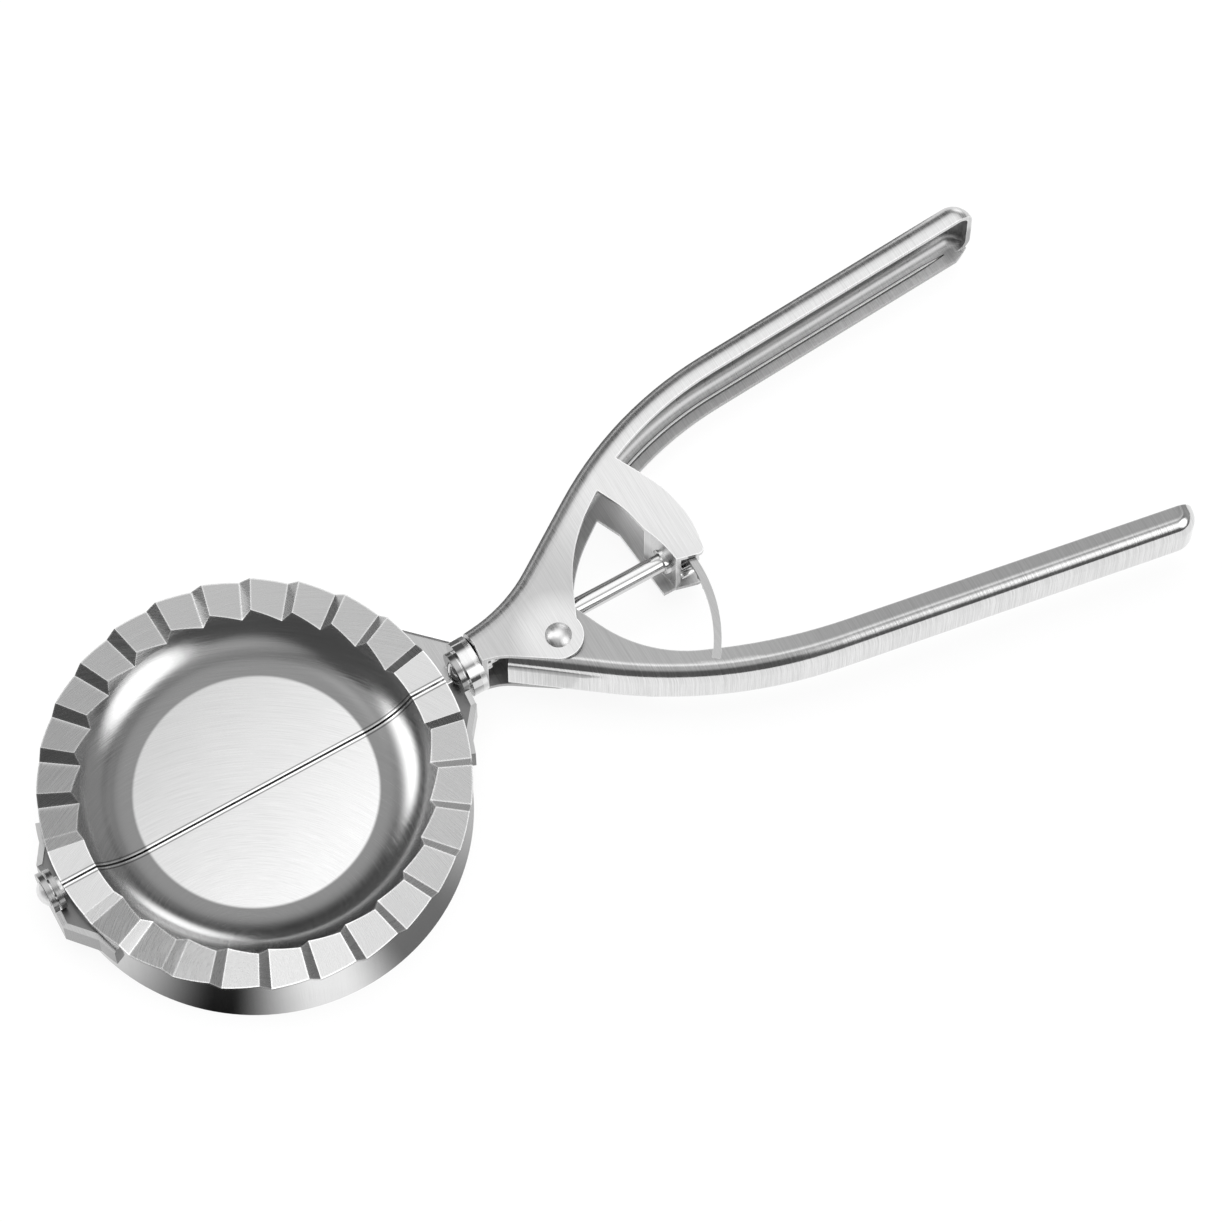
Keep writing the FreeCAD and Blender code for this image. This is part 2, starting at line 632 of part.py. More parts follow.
def drive_shaft():
    """Shaft on the hinge line, domed over the near half's rear strip."""
    seat_x = rear_inner
    tip = Vector(seat_x - S.shaft_head_height, 0, 0)
    end_x = pinion_start + S.pinion_face + S.hub_length + S.shaft_tail
    bevel = S.shaft_tail
    points = [
        tip,
        Vector(end_x, 0, 0),
        Vector(end_x, S.shaft_radius - bevel, 0),
        Vector(end_x - bevel, S.shaft_radius, 0),
        Vector(seat_x, S.shaft_radius, 0),
        Vector(seat_x, S.shaft_head_radius, 0),
    ]
    outline = [Part.LineSegment(a, b) for a, b in zip(points, points[1:])]
    outline.append(dome(Vector(seat_x, 0, 0), tip, S.shaft_head_radius))
    body = turned("drive_shaft", "X_Axis", outline)
    finish("drive_shaft", cut("drive_shaft", body, cross_pin("shaft_pin_hole", "pin_radius + seat_play")))


def cross_pin(name, radius):
    """Pin across the pinion's hub, along Z."""
    place = f"{PINION_X} + pinion_face + hub_length / 2"
    return cylinder(name, radius, "2 * hub_radius", "z", (place, "0", "-hub_radius"))


def pinion_gear():
    """Pinion with involute flanks and a hub, fixed on the shaft by a cross pin."""
    root = pitch_radius - S.rack_addendum - S.root_play
    tip = pitch_radius + S.pinion_addendum
    pressure = math.radians(S.pressure_angle)
    base = pitch_radius * math.cos(pressure)
    thickness = math.pi * S.gear_module / 2 - S.pinion_backlash
    half_at_pitch = thickness / 2 / pitch_radius

    def flank(radius, side):
        # Half angle of the tooth at a radius, by the involute of the base circle.
        here = math.acos(min(1, base / radius))
        half = half_at_pitch + math.tan(pressure) - pressure - math.tan(here) + here
        return Vector(side * radius * math.sin(half), radius * math.cos(half), 0)

    def foot(side):
        # The tooth begins a little inside the disc, so that both make one solid.
        edge = flank(base, side)
        return edge * ((root - S.root_play) / edge.Length)

    middle = (base + tip) / 2
    tooth = [
        Part.LineSegment(foot(-1), flank(base, -1)),
        Part.Arc(flank(base, -1), flank(middle, -1), flank(tip, -1)),
        Part.Arc(flank(tip, -1), Vector(0, tip, 0), flank(tip, 1)),
        Part.Arc(flank(tip, 1), flank(middle, 1), flank(base, 1)),
        Part.LineSegment(flank(base, 1), foot(1)),
        Part.LineSegment(foot(1), foot(-1)),
    ]
    body = new_body("pinion_gear")
    root_formula = f"{PITCH_RADIUS} - rack_addendum - root_play"
    disc = circle_sketch(body, "YZ_Plane", root_formula, root, shift=PINION_X)
    feature(body, "Pad", disc, "pinion_face")
    one = feature(body, "Pad", new_sketch(body, "YZ_Plane", tooth, PINION_X), "pinion_face")
    ring = body.newObject("PartDesign::PolarPattern", "teeth")
    ring.Originals = [one]
    ring.Axis = (origin_feature(body, "X_Axis"), [""])
    ring.Angle = 360
    bind(ring, Occurrences="pinion_teeth")
    body.Tip = ring
    hub = circle_sketch(body, "YZ_Plane", "hub_radius", S.hub_radius, shift=PINION_X)
    feature(body, "Pad", hub, "pinion_face + hub_length")
    bore = circle_sketch(body, "YZ_Plane", "shaft_radius + seat_play", S.shaft_radius + S.seat_play)
    feature(body, "Pocket", bore, "6 * rim_radius", symmetric=True)
    finish("pinion_gear", cut("pinion_gear", body, cross_pin("hub_pin_hole", "pin_radius + seat_play")))
    finish("pinion_pin", cross_pin("pinion_pin", "pin_radius"), f"{PINION_X} + pinion_face + hub_length / 2")
    bind(nodes["pinion_pin"], Placement__Base__z="1 mm * (skirt_height - hub_radius)")


def arc_rack():
    """Rack bent round the handle rivet, with its teeth on the lower side.

    Each tooth lies along the shaft as it passes over the pinion.
    """
    body = new_body("arc_rack")
    line_angle = math.degrees(math.asin(S.pivot_offset / rack_middle))
    lead = S.rack_lead * tooth_angle
    band = ring_sector(
        rack_inside,
        rack_inside + S.rack_width,
        -S.rack_root_angle - lead,
        line_angle + S.rack_end_angle,
    )
    plate = new_sketch(body, "XY_Plane", band, f"{MOVING_INSIDE} / 2")
    feature(body, "Pad", plate, "handle_sheet")
    back = moving_inside / 2
    tip = pitch_radius - S.rack_addendum
    flat = math.tan(math.radians(S.pressure_angle))
    half_at_pitch = math.pi * S.gear_module / 4 - S.rack_backlash / 2
    half_at_tip = half_at_pitch - S.rack_addendum * flat
    half_at_back = half_at_pitch + (back - pitch_radius) * flat
    tooth = rounded_outline([
        (S.pivot_offset - half_at_tip, tip, 0),
        (S.pivot_offset + half_at_tip, tip, 0),
        (S.pivot_offset + half_at_back, back, 0),
        (S.pivot_offset - half_at_back, back, 0),
    ])
    # A tooth is as long as fits in the band at its widest place.
    near = math.sqrt(rack_inside ** 2 - (S.pivot_offset - half_at_back) ** 2)
    far = math.sqrt((rack_inside + S.rack_width) ** 2 - (S.pivot_offset + half_at_back) ** 2)
    sketch = new_sketch(body, "YZ_Plane", tooth, f"{near}")
    one = feature(body, "Pad", sketch, f"{far - near}")
    row = body.newObject("PartDesign::PolarPattern", "teeth")
    row.Originals = [one]
    row.Axis = (origin_feature(body, "Z_Axis"), [""])
    row.Reversed = True
    bind(row, Occurrences="rack_count", Angle="360 deg / (pinion_teeth * drive_ratio) * (rack_count - 1)")
    body.Tip = row
    body.Placement.Rotation = Rotation(Vector(0, 0, 1), lead)
    finish("arc_rack", body, PIVOT_X, "-pivot_offset")


def rivet_hole(body, radius, number):
    hole = circle_sketch(body, "XY_Plane", radius, number)
    feature(body, "Pocket", hole, f"2 * {FRAME_HEIGHT}", symmetric=True)


# Places round the handle rivet at which the plate's window side and neck side leave the boss.
BOSS_WINDOW_ANGLE = 15
BOSS_NECK_ANGLE = 240


def fixed_handle():
    """Upper handle: channel, neck, rivet plates and rack bracket, drawn round the handle rivet."""
    start_x = neck_x - pivot_x
    back = [
        (start_x, S.pivot_offset + S.neck_rise, 0),
        (-S.neck_bend_back, S.neck_bend_side, S.neck_bend_radius),
        (S.shoulder_along, S.shoulder_side, S.shoulder_radius),
        (S.fixed_tip_along, S.fixed_tip_side, S.tip_radius),
    ]
    upper = parallel(back, S.fixed_flange)
    lip = parallel(back, S.lower_flange)
    # The lower flange ends in a slant from the upper flange's depth.
    flange_end = Vector(*lip[-1][:2], 0)
    grip = (flange_end - Vector(*lip[-2][:2], 0)).normalize()
    slant = flange_end - grip * S.tip_radius
    lip[-1:] = [(slant.x, slant.y, 0), upper[-1]]
    body = new_body("fixed_handle")
    outline = rounded_outline(back + lip[::-1])
    strip = feature(body, "Pad", new_sketch(body, "XY_Plane", outline), FRAME_HEIGHT, symmetric=True)
    outer_wire = wire_of(outline[:7])
    half = frame_height / 2
    fillet(body, strip, "edge_radius", lambda edge: follows(edge, outer_wire, half))

    # The upper flange is narrower than the lower one.
    inner_side = longer(upper, S.handle_sheet)
    beyond = longer(parallel(back, 2 * S.lower_flange), S.handle_sheet)
    trim = new_sketch(
        body, "XY_Plane", rounded_outline(inner_side + beyond[::-1]), f"handle_sheet - {FRAME_HEIGHT} / 2",
    )
    feature(body, "Pocket", trim, FRAME_HEIGHT, reverse=True)

    # Line inside the strip at which the plates join it, and the outer end of the window.
    seam = parallel(back, S.fixed_flange - S.handle_sheet)
    neck_corner = Vector(*seam[1][:2], 0)
    neck_way = (Vector(*seam[2][:2], 0) - neck_corner).normalize()
    apex = Vector(S.apex_along, S.apex_side, 0)
    shoulder = neck_corner + neck_way * (apex - neck_corner).dot(neck_way)

    # Neither flange is wide along the neck, up to the window's outer end.
    neck_side = longer(parallel(back, S.fixed_flange - S.handle_sheet / 2), S.handle_sheet)[:2]
    across = Vector(neck_way.y, -neck_way.x, 0)
    neck_top = shoulder + across * (S.handle_sheet / 2)
    neck_far = shoulder + across * (2 * S.lower_flange)
    neck_cut = rounded_outline(neck_side + [
        (neck_top.x, neck_top.y, 0),
        (neck_far.x, neck_far.y, 0),
        (neck_side[0][0], neck_far.y - 2 * S.lower_flange, 0),
    ])
    feature(body, "Pocket", new_sketch(body, "XY_Plane", neck_cut), f"2 * {FRAME_HEIGHT}", symmetric=True)

    # Plate between the neck, the rivet boss and the window, joined to the strip along its inner side.
    boss_side = polar(S.pivot_boss_radius, BOSS_WINDOW_ANGLE)
    boss_foot = polar(S.pivot_boss_radius, BOSS_NECK_ANGLE)
    plate = rounded_outline([
        seam[0],
        (start_x, S.pivot_offset - S.neck_drop, 0),
        (
            start_x + S.neck_slant_run,
            S.pivot_offset - S.neck_drop - S.neck_slant,
            S.neck_slant_radius,
        ),
        (boss_foot.x, boss_foot.y, 0),
        (boss_side.x, boss_side.y, 0),
        (S.window_along, S.window_side, S.window_radius),
        (apex.x, apex.y, 0),
        (shoulder.x, shoulder.y, 0),
        seam[1],
    ])
    feature(body, "Pad", new_sketch(body, "XY_Plane", plate), FRAME_HEIGHT, symmetric=True)
    boss = circle_sketch(body, "XY_Plane", "pivot_boss_radius", S.pivot_boss_radius)
    feature(body, "Pad", boss, FRAME_HEIGHT, symmetric=True)
    corner_x = wall_inside + S.bracket_width
    root = apex + neck_way * S.bracket_root
    wall_start = polar(wall_inside, S.bracket_end_angle)
    wall_middle = polar(wall_inside, (S.bracket_end_angle + S.bracket_wall_angle) / 2)
    wall_end = polar(wall_inside, S.bracket_wall_angle)
    bracket = rounded_outline([
        (wall_start.x, wall_start.y, 0),
        (corner_x - S.bracket_taper, S.bracket_end_side, S.bracket_end_radius),
        (corner_x, S.bracket_side, S.bracket_radius),
        (root.x, root.y, 0),
        (shoulder.x, shoulder.y, 0),
        (apex.x, apex.y, 0),
        (S.knee_along, S.knee_side, S.knee_radius),
        (wall_end.x, wall_end.y, 0),
    ])
    bracket[-1] = Part.Arc(wall_end, wall_middle, wall_start)
    feature(body, "Pad", new_sketch(body, "XY_Plane", bracket), FRAME_HEIGHT, symmetric=True)

    # Space inside the channel, open towards the other handle.
    inside = parallel(back, S.handle_sheet)
    wall_x = start_x + S.handle_sheet
    inside[0] = (wall_x, inside[0][1], 0)
    end_side = (Vector(*inside[-2][:2], 0) - Vector(*inside[-1][:2], 0)).normalize()
    end = Vector(*inside[-1][:2], 0) + end_side * S.handle_sheet
    inside[-1] = (end.x, end.y, S.tip_radius - S.handle_sheet)
    open_side = Vector(-end_side.y, end_side.x, 0) * (2 * S.lower_flange)
    below = -2 * S.pivot_boss_radius
    hollow = rounded_outline(inside + [
        (end.x + open_side.x, end.y + open_side.y, 0),
        (2 * corner_x, below, 0),
        (wall_x, below, 0),
    ])
    room = feature(body, "Pocket", new_sketch(body, "XY_Plane", hollow), FRAME_INSIDE, symmetric=True)
    inner_wire = wire_of(hollow[:6])
    half_inside = half - S.handle_sheet
    fillet(body, room, "edge_radius - handle_sheet", lambda edge: follows(edge, inner_wire, half_inside))

    # Bracket wall in front of the pinion, and the lower plate's straight lip below it.
    wall = ring_sector(wall_inside, wall_outside, S.bracket_end_angle, S.bracket_wall_angle)
    feature(body, "Pad", new_sketch(body, "XY_Plane", wall), FRAME_INSIDE, symmetric=True)
    low = f"-{FRAME_HEIGHT} / 2"
    wall_foot = polar(wall_outside, S.bracket_end_angle)
    lip_plate = rounded_outline([
        (wall_foot.x, wall_foot.y, 0),
        (root.x, root.y, 0),
        (S.bracket_lip_along - S.bracket_lip_slant, S.apex_side, 0),
        (S.bracket_lip_along, wall_foot.y, 0),
    ])
    feature(body, "Pad", new_sketch(body, "XY_Plane", lip_plate, low), "handle_sheet")
    rivet_hole(body, "pivot_radius + seat_play", S.pivot_radius + S.seat_play)
    hinge_line = Vector(S.pivot_offset, 0, 0)
    neck_bore = circle_sketch(
        body, "YZ_Plane", f"{COLLAR_TUBE} + seat_play", collar_tube + S.seat_play, hinge_line,
        f"{NECK_X} - {PIVOT_X} - handle_sheet",
    )
    feature(body, "Pocket", neck_bore, "3 * handle_sheet", reverse=True)
    bush_radius = S.shaft_radius + S.bore_play + S.bush_wall + S.seat_play
    bush_bore = circle_sketch(
        body, "YZ_Plane", "shaft_radius + bore_play + bush_wall + seat_play", bush_radius, hinge_line,
        f"{wall_inside - 4 * S.handle_sheet}",
    )
    feature(body, "Pocket", bush_bore, "6 * handle_sheet", reverse=True)
    finish("fixed_handle", body, PIVOT_X, "-pivot_offset")
    return inner_wire


def moving_handle():
    """Lower handle: channel with rivet plates that nest inside the fixed handle's plates."""
    back = [
        (S.moving_tip_along, -S.moving_tip_side, S.tip_radius),
        (S.bend_along, -S.bend_side, S.bend_radius),
        (-S.tail_back, S.tail_side, 0),
    ]
    grip = (Vector(*back[1][:2], 0) - Vector(*back[0][:2], 0)).normalize()
    inward = Vector(grip.y, -grip.x, 0)
    tip = Vector(*back[0][:2], 0) + inward * S.moving_tip_flange
    arm = (Vector(*back[2][:2], 0) - Vector(*back[1][:2], 0)).normalize()
    tail_inner = Vector(*back[2][:2], 0) + Vector(arm.y, -arm.x, 0) * S.tail_width
    boss = S.pivot_boss_radius
    # The plate's edge goes round the boss in three corners, given as parts of the boss radius.
    front = [
        (tail_inner.x, tail_inner.y, S.tail_radius),
        (-0.9 * boss, boss, 0.8 * boss),
        (1.1 * boss, 0.95 * boss, 0.7 * boss),
        (1.32 * boss, 0.49 * boss, 0),
        (S.throat_along, -S.throat_side, S.throat_radius),
        (S.waist_along, -S.waist_side, S.waist_radius),
        (tip.x, tip.y, 0),
    ]
    body = new_body("moving_handle")
    outline = rounded_outline(back + front)
    solid = feature(body, "Pad", new_sketch(body, "XY_Plane", outline), MOVING_HEIGHT, symmetric=True)
    outer_wire = wire_of(outline[-1:] + outline[:4])
    half = moving_height / 2
    fillet(body, solid, "edge_radius", lambda edge: follows(edge, outer_wire, half))

    # Space inside the channel, open towards the other handle and at the tail.
    inside = parallel(back, S.handle_sheet)
    end = Vector(*inside[0][:2], 0) + grip * S.handle_sheet
    inside[0] = (end.x, end.y, S.tip_radius - S.handle_sheet)
    tail_side = (Vector(*inside[-1][:2], 0) - Vector(*inside[-2][:2], 0)).normalize()
    tail = Vector(*inside[-1][:2], 0) + tail_side * S.tail_back
    inside[-1] = (tail.x, tail.y, 0)
    above = 4 * boss
    far_side = end + inward * (2 * S.moving_tip_flange)
    hollow = rounded_outline(inside + [
        (tail.x, above, 0),
        (S.throat_along, above, 0),
        (far_side.x, far_side.y, 0),
    ])
    room = feature(body, "Pocket", new_sketch(body, "XY_Plane", hollow), MOVING_INSIDE, symmetric=True)
    inner_wire = wire_of(hollow[:4])
    fillet(
        body, room, "edge_radius - handle_sheet",
        lambda edge: follows(edge, inner_wire, moving_inside / 2),
    )
    rivet_hole(body, "pivot_radius + bore_play", S.pivot_radius + S.bore_play)

    # Slot in the upper plate that takes the welded root of the rack.
    slot = ring_sector(rack_inside, rack_inside + S.rack_width, -S.rack_root_angle, 0)
    slot_sketch = new_sketch(body, "XY_Plane", slot, f"{MOVING_INSIDE} / 2")
    feature(body, "Pocket", slot_sketch, "2 * handle_sheet", reverse=True)
    finish("moving_handle", body, PIVOT_X, "-pivot_offset")
    return inner_wire


def pivot_rivet():
    """Rivet through both handles, domed on both sides."""
    seat = frame_height / 2
    tip = Vector(0, seat + S.pivot_head_height, 0)
    low_tip = Vector(0, -seat - S.pivot_head_height, 0)
    points = [
        Vector(S.pivot_head_radius, seat, 0),
        Vector(S.pivot_radius, seat, 0),
        Vector(S.pivot_radius, -seat, 0),
        Vector(S.pivot_head_radius, -seat, 0),
    ]
    outline = [Part.LineSegment(a, b) for a, b in zip(points, points[1:])]
    outline += [
        dome(Vector(0, -seat, 0), low_tip, S.pivot_head_radius),
        Part.LineSegment(low_tip, tip),
        dome(Vector(0, seat, 0), tip, S.pivot_head_radius),
    ]
    finish("pivot_rivet", turned("pivot_rivet", "Z_Axis", outline), PIVOT_X, "-pivot_offset")


def helix_arcs(start, end, radius, top, rise):
    """Coil as pairs of tangent arcs, each pair a quarter turn or less. Angles in degrees."""
    slope = rise / (2 * math.pi * radius)

    def place(degrees):
        point = polar(radius, degrees)
        return point + Vector(0, 0, top - rise * (degrees - start) / 360)

    def heading(degrees):
        turn = math.radians(degrees)
        return Vector(-math.sin(turn), math.cos(turn), -slope).normalize()

    def arc(begin, knee, finish_point):
        # Middle of the arc that leaves begin towards the knee and arrives from it.
        weight = (finish_point - begin).Length / 2 / (knee - begin).Length
        middle = (begin + knee * (2 * weight) + finish_point) * (1 / (2 + 2 * weight))
        return Part.Arc(begin, middle, finish_point).toShape()

    edges = []
    count = math.ceil((end - start) / 90)
    step = (end - start) / count
    for index in range(count):
        first, last = start + index * step, start + (index + 1) * step
        run = place(last) - place(first)
        both = heading(first) + heading(last)
        bend = 2 * (1 - heading(first).dot(heading(last)))
        reach = (math.sqrt(run.dot(both) ** 2 + bend * run.dot(run)) - run.dot(both)) / bend
        knee_one = place(first) + heading(first) * reach
        knee_two = place(last) - heading(last) * reach
        middle = (knee_one + knee_two) * 0.5
        edges += [arc(place(first), knee_one, middle), arc(middle, knee_two, place(last))]
    return edges, place(start), heading(start), place(end), heading(end)


def leg_length(point, direction, wall):
    """Length of a straight leg that stops short of a channel wall seen from above."""
    flat = Vector(direction.x, direction.y, 0)
    begin = Vector(point.x, point.y, 0)
    ray = Part.makeLine(begin, begin + flat * (4 * S.pivot_reach))
    gap, pairs, details = ray.distToShape(wall)
    reach = (pairs[0][0] - begin).Length / flat.Length
    return reach - 2 * (S.spring_wire / 2 + S.spring_seat)


def return_spring(fixed_wall, moving_wall):
    """Torsion spring round the rivet's sleeve, one leg against each handle's channel wall."""
    radius = S.pivot_radius + S.bore_play + S.sleeve_wall + S.spring_play + S.spring_wire / 2
    start = S.spring_leg_angle + 90
    end = 270 - S.spring_leg_angle + 360 * S.spring_turns
    top = S.spring_pitch * (end - start) / 720
    coil, first, first_way, last, last_way = helix_arcs(start, end, radius, top, S.spring_pitch)
    first_end = first - first_way * leg_length(first, first_way * -1, fixed_wall)
    last_end = last + last_way * leg_length(last, last_way, moving_wall)
    path = Part.Wire([Part.makeLine(first_end, first)] + coil + [Part.makeLine(last, last_end)])
    section = Part.Wire(Part.makeCircle(S.spring_wire / 2, first_end, first_way))
    item = doc.addObject("Part::Feature", "return_spring")
    item.Shape = path.makePipeShell([section], True, False)
    finish("return_spring", item, PIVOT_X, "-pivot_offset")

    # Least gap between points of the coil that are half a turn or more apart along the wire.
    points = [point for edge in coil for point in edge.discretize(12)]
    apart = math.ceil(12 * 4 * 90 / ((end - start) / math.ceil((end - start) / 90)))
    least = min(
        (points[i] - points[j]).Length
        for i in range(len(points)) for j in range(i + apart, len(points))
    )
    print(f"return_spring: least gap to itself {least - S.spring_wire:.2f} mm")


void = dish_void(0)
void_below = dish_void(S.mould_sheet)
void_lip = dish_void(S.split_lip)
mould_half("fixed", 1, void, void_below, void_lip)
mould_half("moving", -1, void, void_below, void_lip)

ear(
    "fixed_front_ear", -1, 1, front_inner, S.ear_radius, "ear_radius",
    "front_rivet_radius + seat_play", S.front_rivet_radius + S.seat_play,
)
ear(
    "moving_front_ear", -1, -1, front_outer, S.ear_radius, "ear_radius",
    "front_rivet_radius + bore_play", S.front_rivet_radius + S.bore_play,
)
ear(
    "moving_rear_ear", 1, -1, rear_inner, S.ear_radius, "ear_radius",
    "shaft_radius + seat_play", S.shaft_radius + S.seat_play,
)
ear(
    "fixed_rear_ear", 1, 1, rear_outer, S.collar_radius, "collar_radius",
    f"{COLLAR_TUBE} + seat_play", collar_tube + S.seat_play,
)
front_rivet()
finish(
    "front_hinge_washer",
    tube("front_hinge_washer", "front_head_radius", "front_rivet_radius + seat_play", "washer_sheet", "x",
         (f"-{FRONT_INNER} - ear_sheet - washer_sheet", "0", "0")),
)
finish(
    "rear_hinge_washer",
    tube("rear_hinge_washer", "ear_radius", "shaft_radius + seat_play", "washer_sheet", "x",
         (f"{REAR_INNER} + ear_sheet", "0", "0")),
)

flange = cylinder("collar_flange", "collar_radius", "collar_sheet", "x", (COLLAR_X, "0", "0"))
barrel_length = "collar_sheet + ear_sheet + handle_sheet + collar_tail"
barrel = cylinder("collar_barrel", COLLAR_TUBE, barrel_length, "x", (COLLAR_X, "0", "0"))
collar_blank = doc.addObject("Part::Fuse", "collar_blank")
collar_blank.Base = flange
collar_blank.Tool = barrel
collar_bore = cylinder("collar_bore", "shaft_radius + bore_play", barrel_length, "x", (COLLAR_X, "0", "0"))
finish("neck_collar", cut("neck_collar", collar_blank, collar_bore))

drive_shaft()
pinion_gear()
bush_x = f"{PINION_X} - side_play - bush_length"
finish(
    "shaft_end_bush",
    tube("shaft_end_bush", "shaft_radius + bore_play + bush_wall", "shaft_radius + bore_play", "bush_length",
         "x", (bush_x, "0", "0")),
)

pivot_rivet()
sleeve = tube(
    "pivot_sleeve", "pivot_radius + bore_play + sleeve_wall", "pivot_radius + bore_play",
    f"{MOVING_INSIDE} - 2 * side_play", "z", ("0", "0", f"side_play - {MOVING_INSIDE} / 2"),
)
finish("pivot_sleeve", sleeve, PIVOT_X, "-pivot_offset")
fixed_wall = fixed_handle()
arc_rack()
moving_wall = moving_handle()
return_spring(fixed_wall, moving_wall)
doc.recompute()

for item in doc.Objects:
    if "Invalid" in item.State or "Error" in item.State:
        raise RuntimeError(f"{item.Label} failed: {item.State}")
for label, item in nodes.items():
    if item.Shape.isNull() or not item.Shape.isValid() or len(item.Shape.Solids) != 1:
        raise RuntimeError(f"{label} has no single valid solid: {len(item.Shape.Solids)}")
os.makedirs("parts", exist_ok=True)
for label, item in nodes.items():
    item.Shape.exportStep(f"parts/{label}.step")
    box = item.Shape.BoundBox
    print(f"{label}: {item.Shape.Volume:.1f} mm3, x {box.XMin:.1f} {box.XMax:.1f},"
          f" y {box.YMin:.1f} {box.YMax:.1f}, z {box.ZMin:.1f} {box.ZMax:.1f}")
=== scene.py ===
"""Looks of the dumpling maker: brushed and polished stainless steel on a pale studio floor."""
import json
import math

import bpy
from mathutils import Matrix, Vector


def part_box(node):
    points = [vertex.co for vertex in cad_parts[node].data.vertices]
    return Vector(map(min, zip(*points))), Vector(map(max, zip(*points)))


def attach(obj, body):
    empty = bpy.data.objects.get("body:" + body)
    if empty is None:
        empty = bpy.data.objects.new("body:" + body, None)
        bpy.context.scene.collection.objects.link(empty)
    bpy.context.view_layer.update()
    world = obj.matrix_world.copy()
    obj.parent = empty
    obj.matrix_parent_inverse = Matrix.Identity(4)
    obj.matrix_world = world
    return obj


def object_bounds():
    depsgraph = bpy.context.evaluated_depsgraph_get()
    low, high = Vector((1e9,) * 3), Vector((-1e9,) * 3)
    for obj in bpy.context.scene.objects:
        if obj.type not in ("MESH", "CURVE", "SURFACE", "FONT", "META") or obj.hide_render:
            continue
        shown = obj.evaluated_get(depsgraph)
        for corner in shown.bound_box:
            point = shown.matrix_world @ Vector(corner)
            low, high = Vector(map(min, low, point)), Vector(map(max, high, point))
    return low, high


MM = 0.001

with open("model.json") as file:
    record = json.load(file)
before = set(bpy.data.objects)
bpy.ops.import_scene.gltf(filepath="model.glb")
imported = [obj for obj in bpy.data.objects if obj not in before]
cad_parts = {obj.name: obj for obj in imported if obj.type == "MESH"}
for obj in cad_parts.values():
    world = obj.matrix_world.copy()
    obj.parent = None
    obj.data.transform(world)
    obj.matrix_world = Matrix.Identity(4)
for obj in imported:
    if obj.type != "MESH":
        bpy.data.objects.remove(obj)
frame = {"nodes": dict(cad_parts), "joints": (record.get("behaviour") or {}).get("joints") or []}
cad_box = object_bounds()
nodes = frame["nodes"]
scene = bpy.context.scene
scene.view_settings.view_transform = "Standard"

# Places of the frame, in metres.
joint_places = {joint["name"]: joint["pos_m"] for joint in frame["joints"]}
pivot = Vector(joint_places["squeeze"])
hinge_height = joint_places["fold"][2]
rim_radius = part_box("fixed_mould_plate")[1].x
floor_height = cad_box[0][2]

# Camera at the photograph's viewing angle, aimed beside the mould so that the whole tool is in view.
VIEW_AZIMUTH = math.radians(-30.242)
VIEW_ELEVATION = math.radians(67.691)
VIEW_DISTANCE = 1.2
AIM_RIGHT = 73.444 * MM
AIM_UP = 35.046 * MM
LENS = 171.43
SENSOR = 36

view_right = Vector((math.cos(VIEW_AZIMUTH), math.sin(VIEW_AZIMUTH), 0))
view_back = Vector((
    math.sin(VIEW_AZIMUTH) * math.cos(VIEW_ELEVATION),
    -math.cos(VIEW_AZIMUTH) * math.cos(VIEW_ELEVATION),
    math.sin(VIEW_ELEVATION),
))
view_up = view_back.cross(view_right)
view_ahead = Vector((view_up.x, view_up.y, 0)).normalized()


def make_camera():
    """Camera that looks at the tool from the photograph's side."""
    data = bpy.data.cameras.new("photo_camera")
    data.lens = LENS
    data.sensor_width = SENSOR
    data.clip_start = 0.01
    camera = bpy.data.objects.new("photo_camera", data)
    hinge_point = Vector((0, 0, hinge_height))
    place = hinge_point + view_right * AIM_RIGHT + view_up * AIM_UP + view_back * VIEW_DISTANCE
    turn = Matrix((view_right, view_up, view_back)).transposed().to_4x4()
    camera.matrix_world = Matrix.Translation(place) @ turn
    scene.collection.objects.link(camera)
    scene.camera = camera


# Range of a noise texture's values that is spread over a wanted range.
NOISE_LOW = 0.3
NOISE_HIGH = 0.7


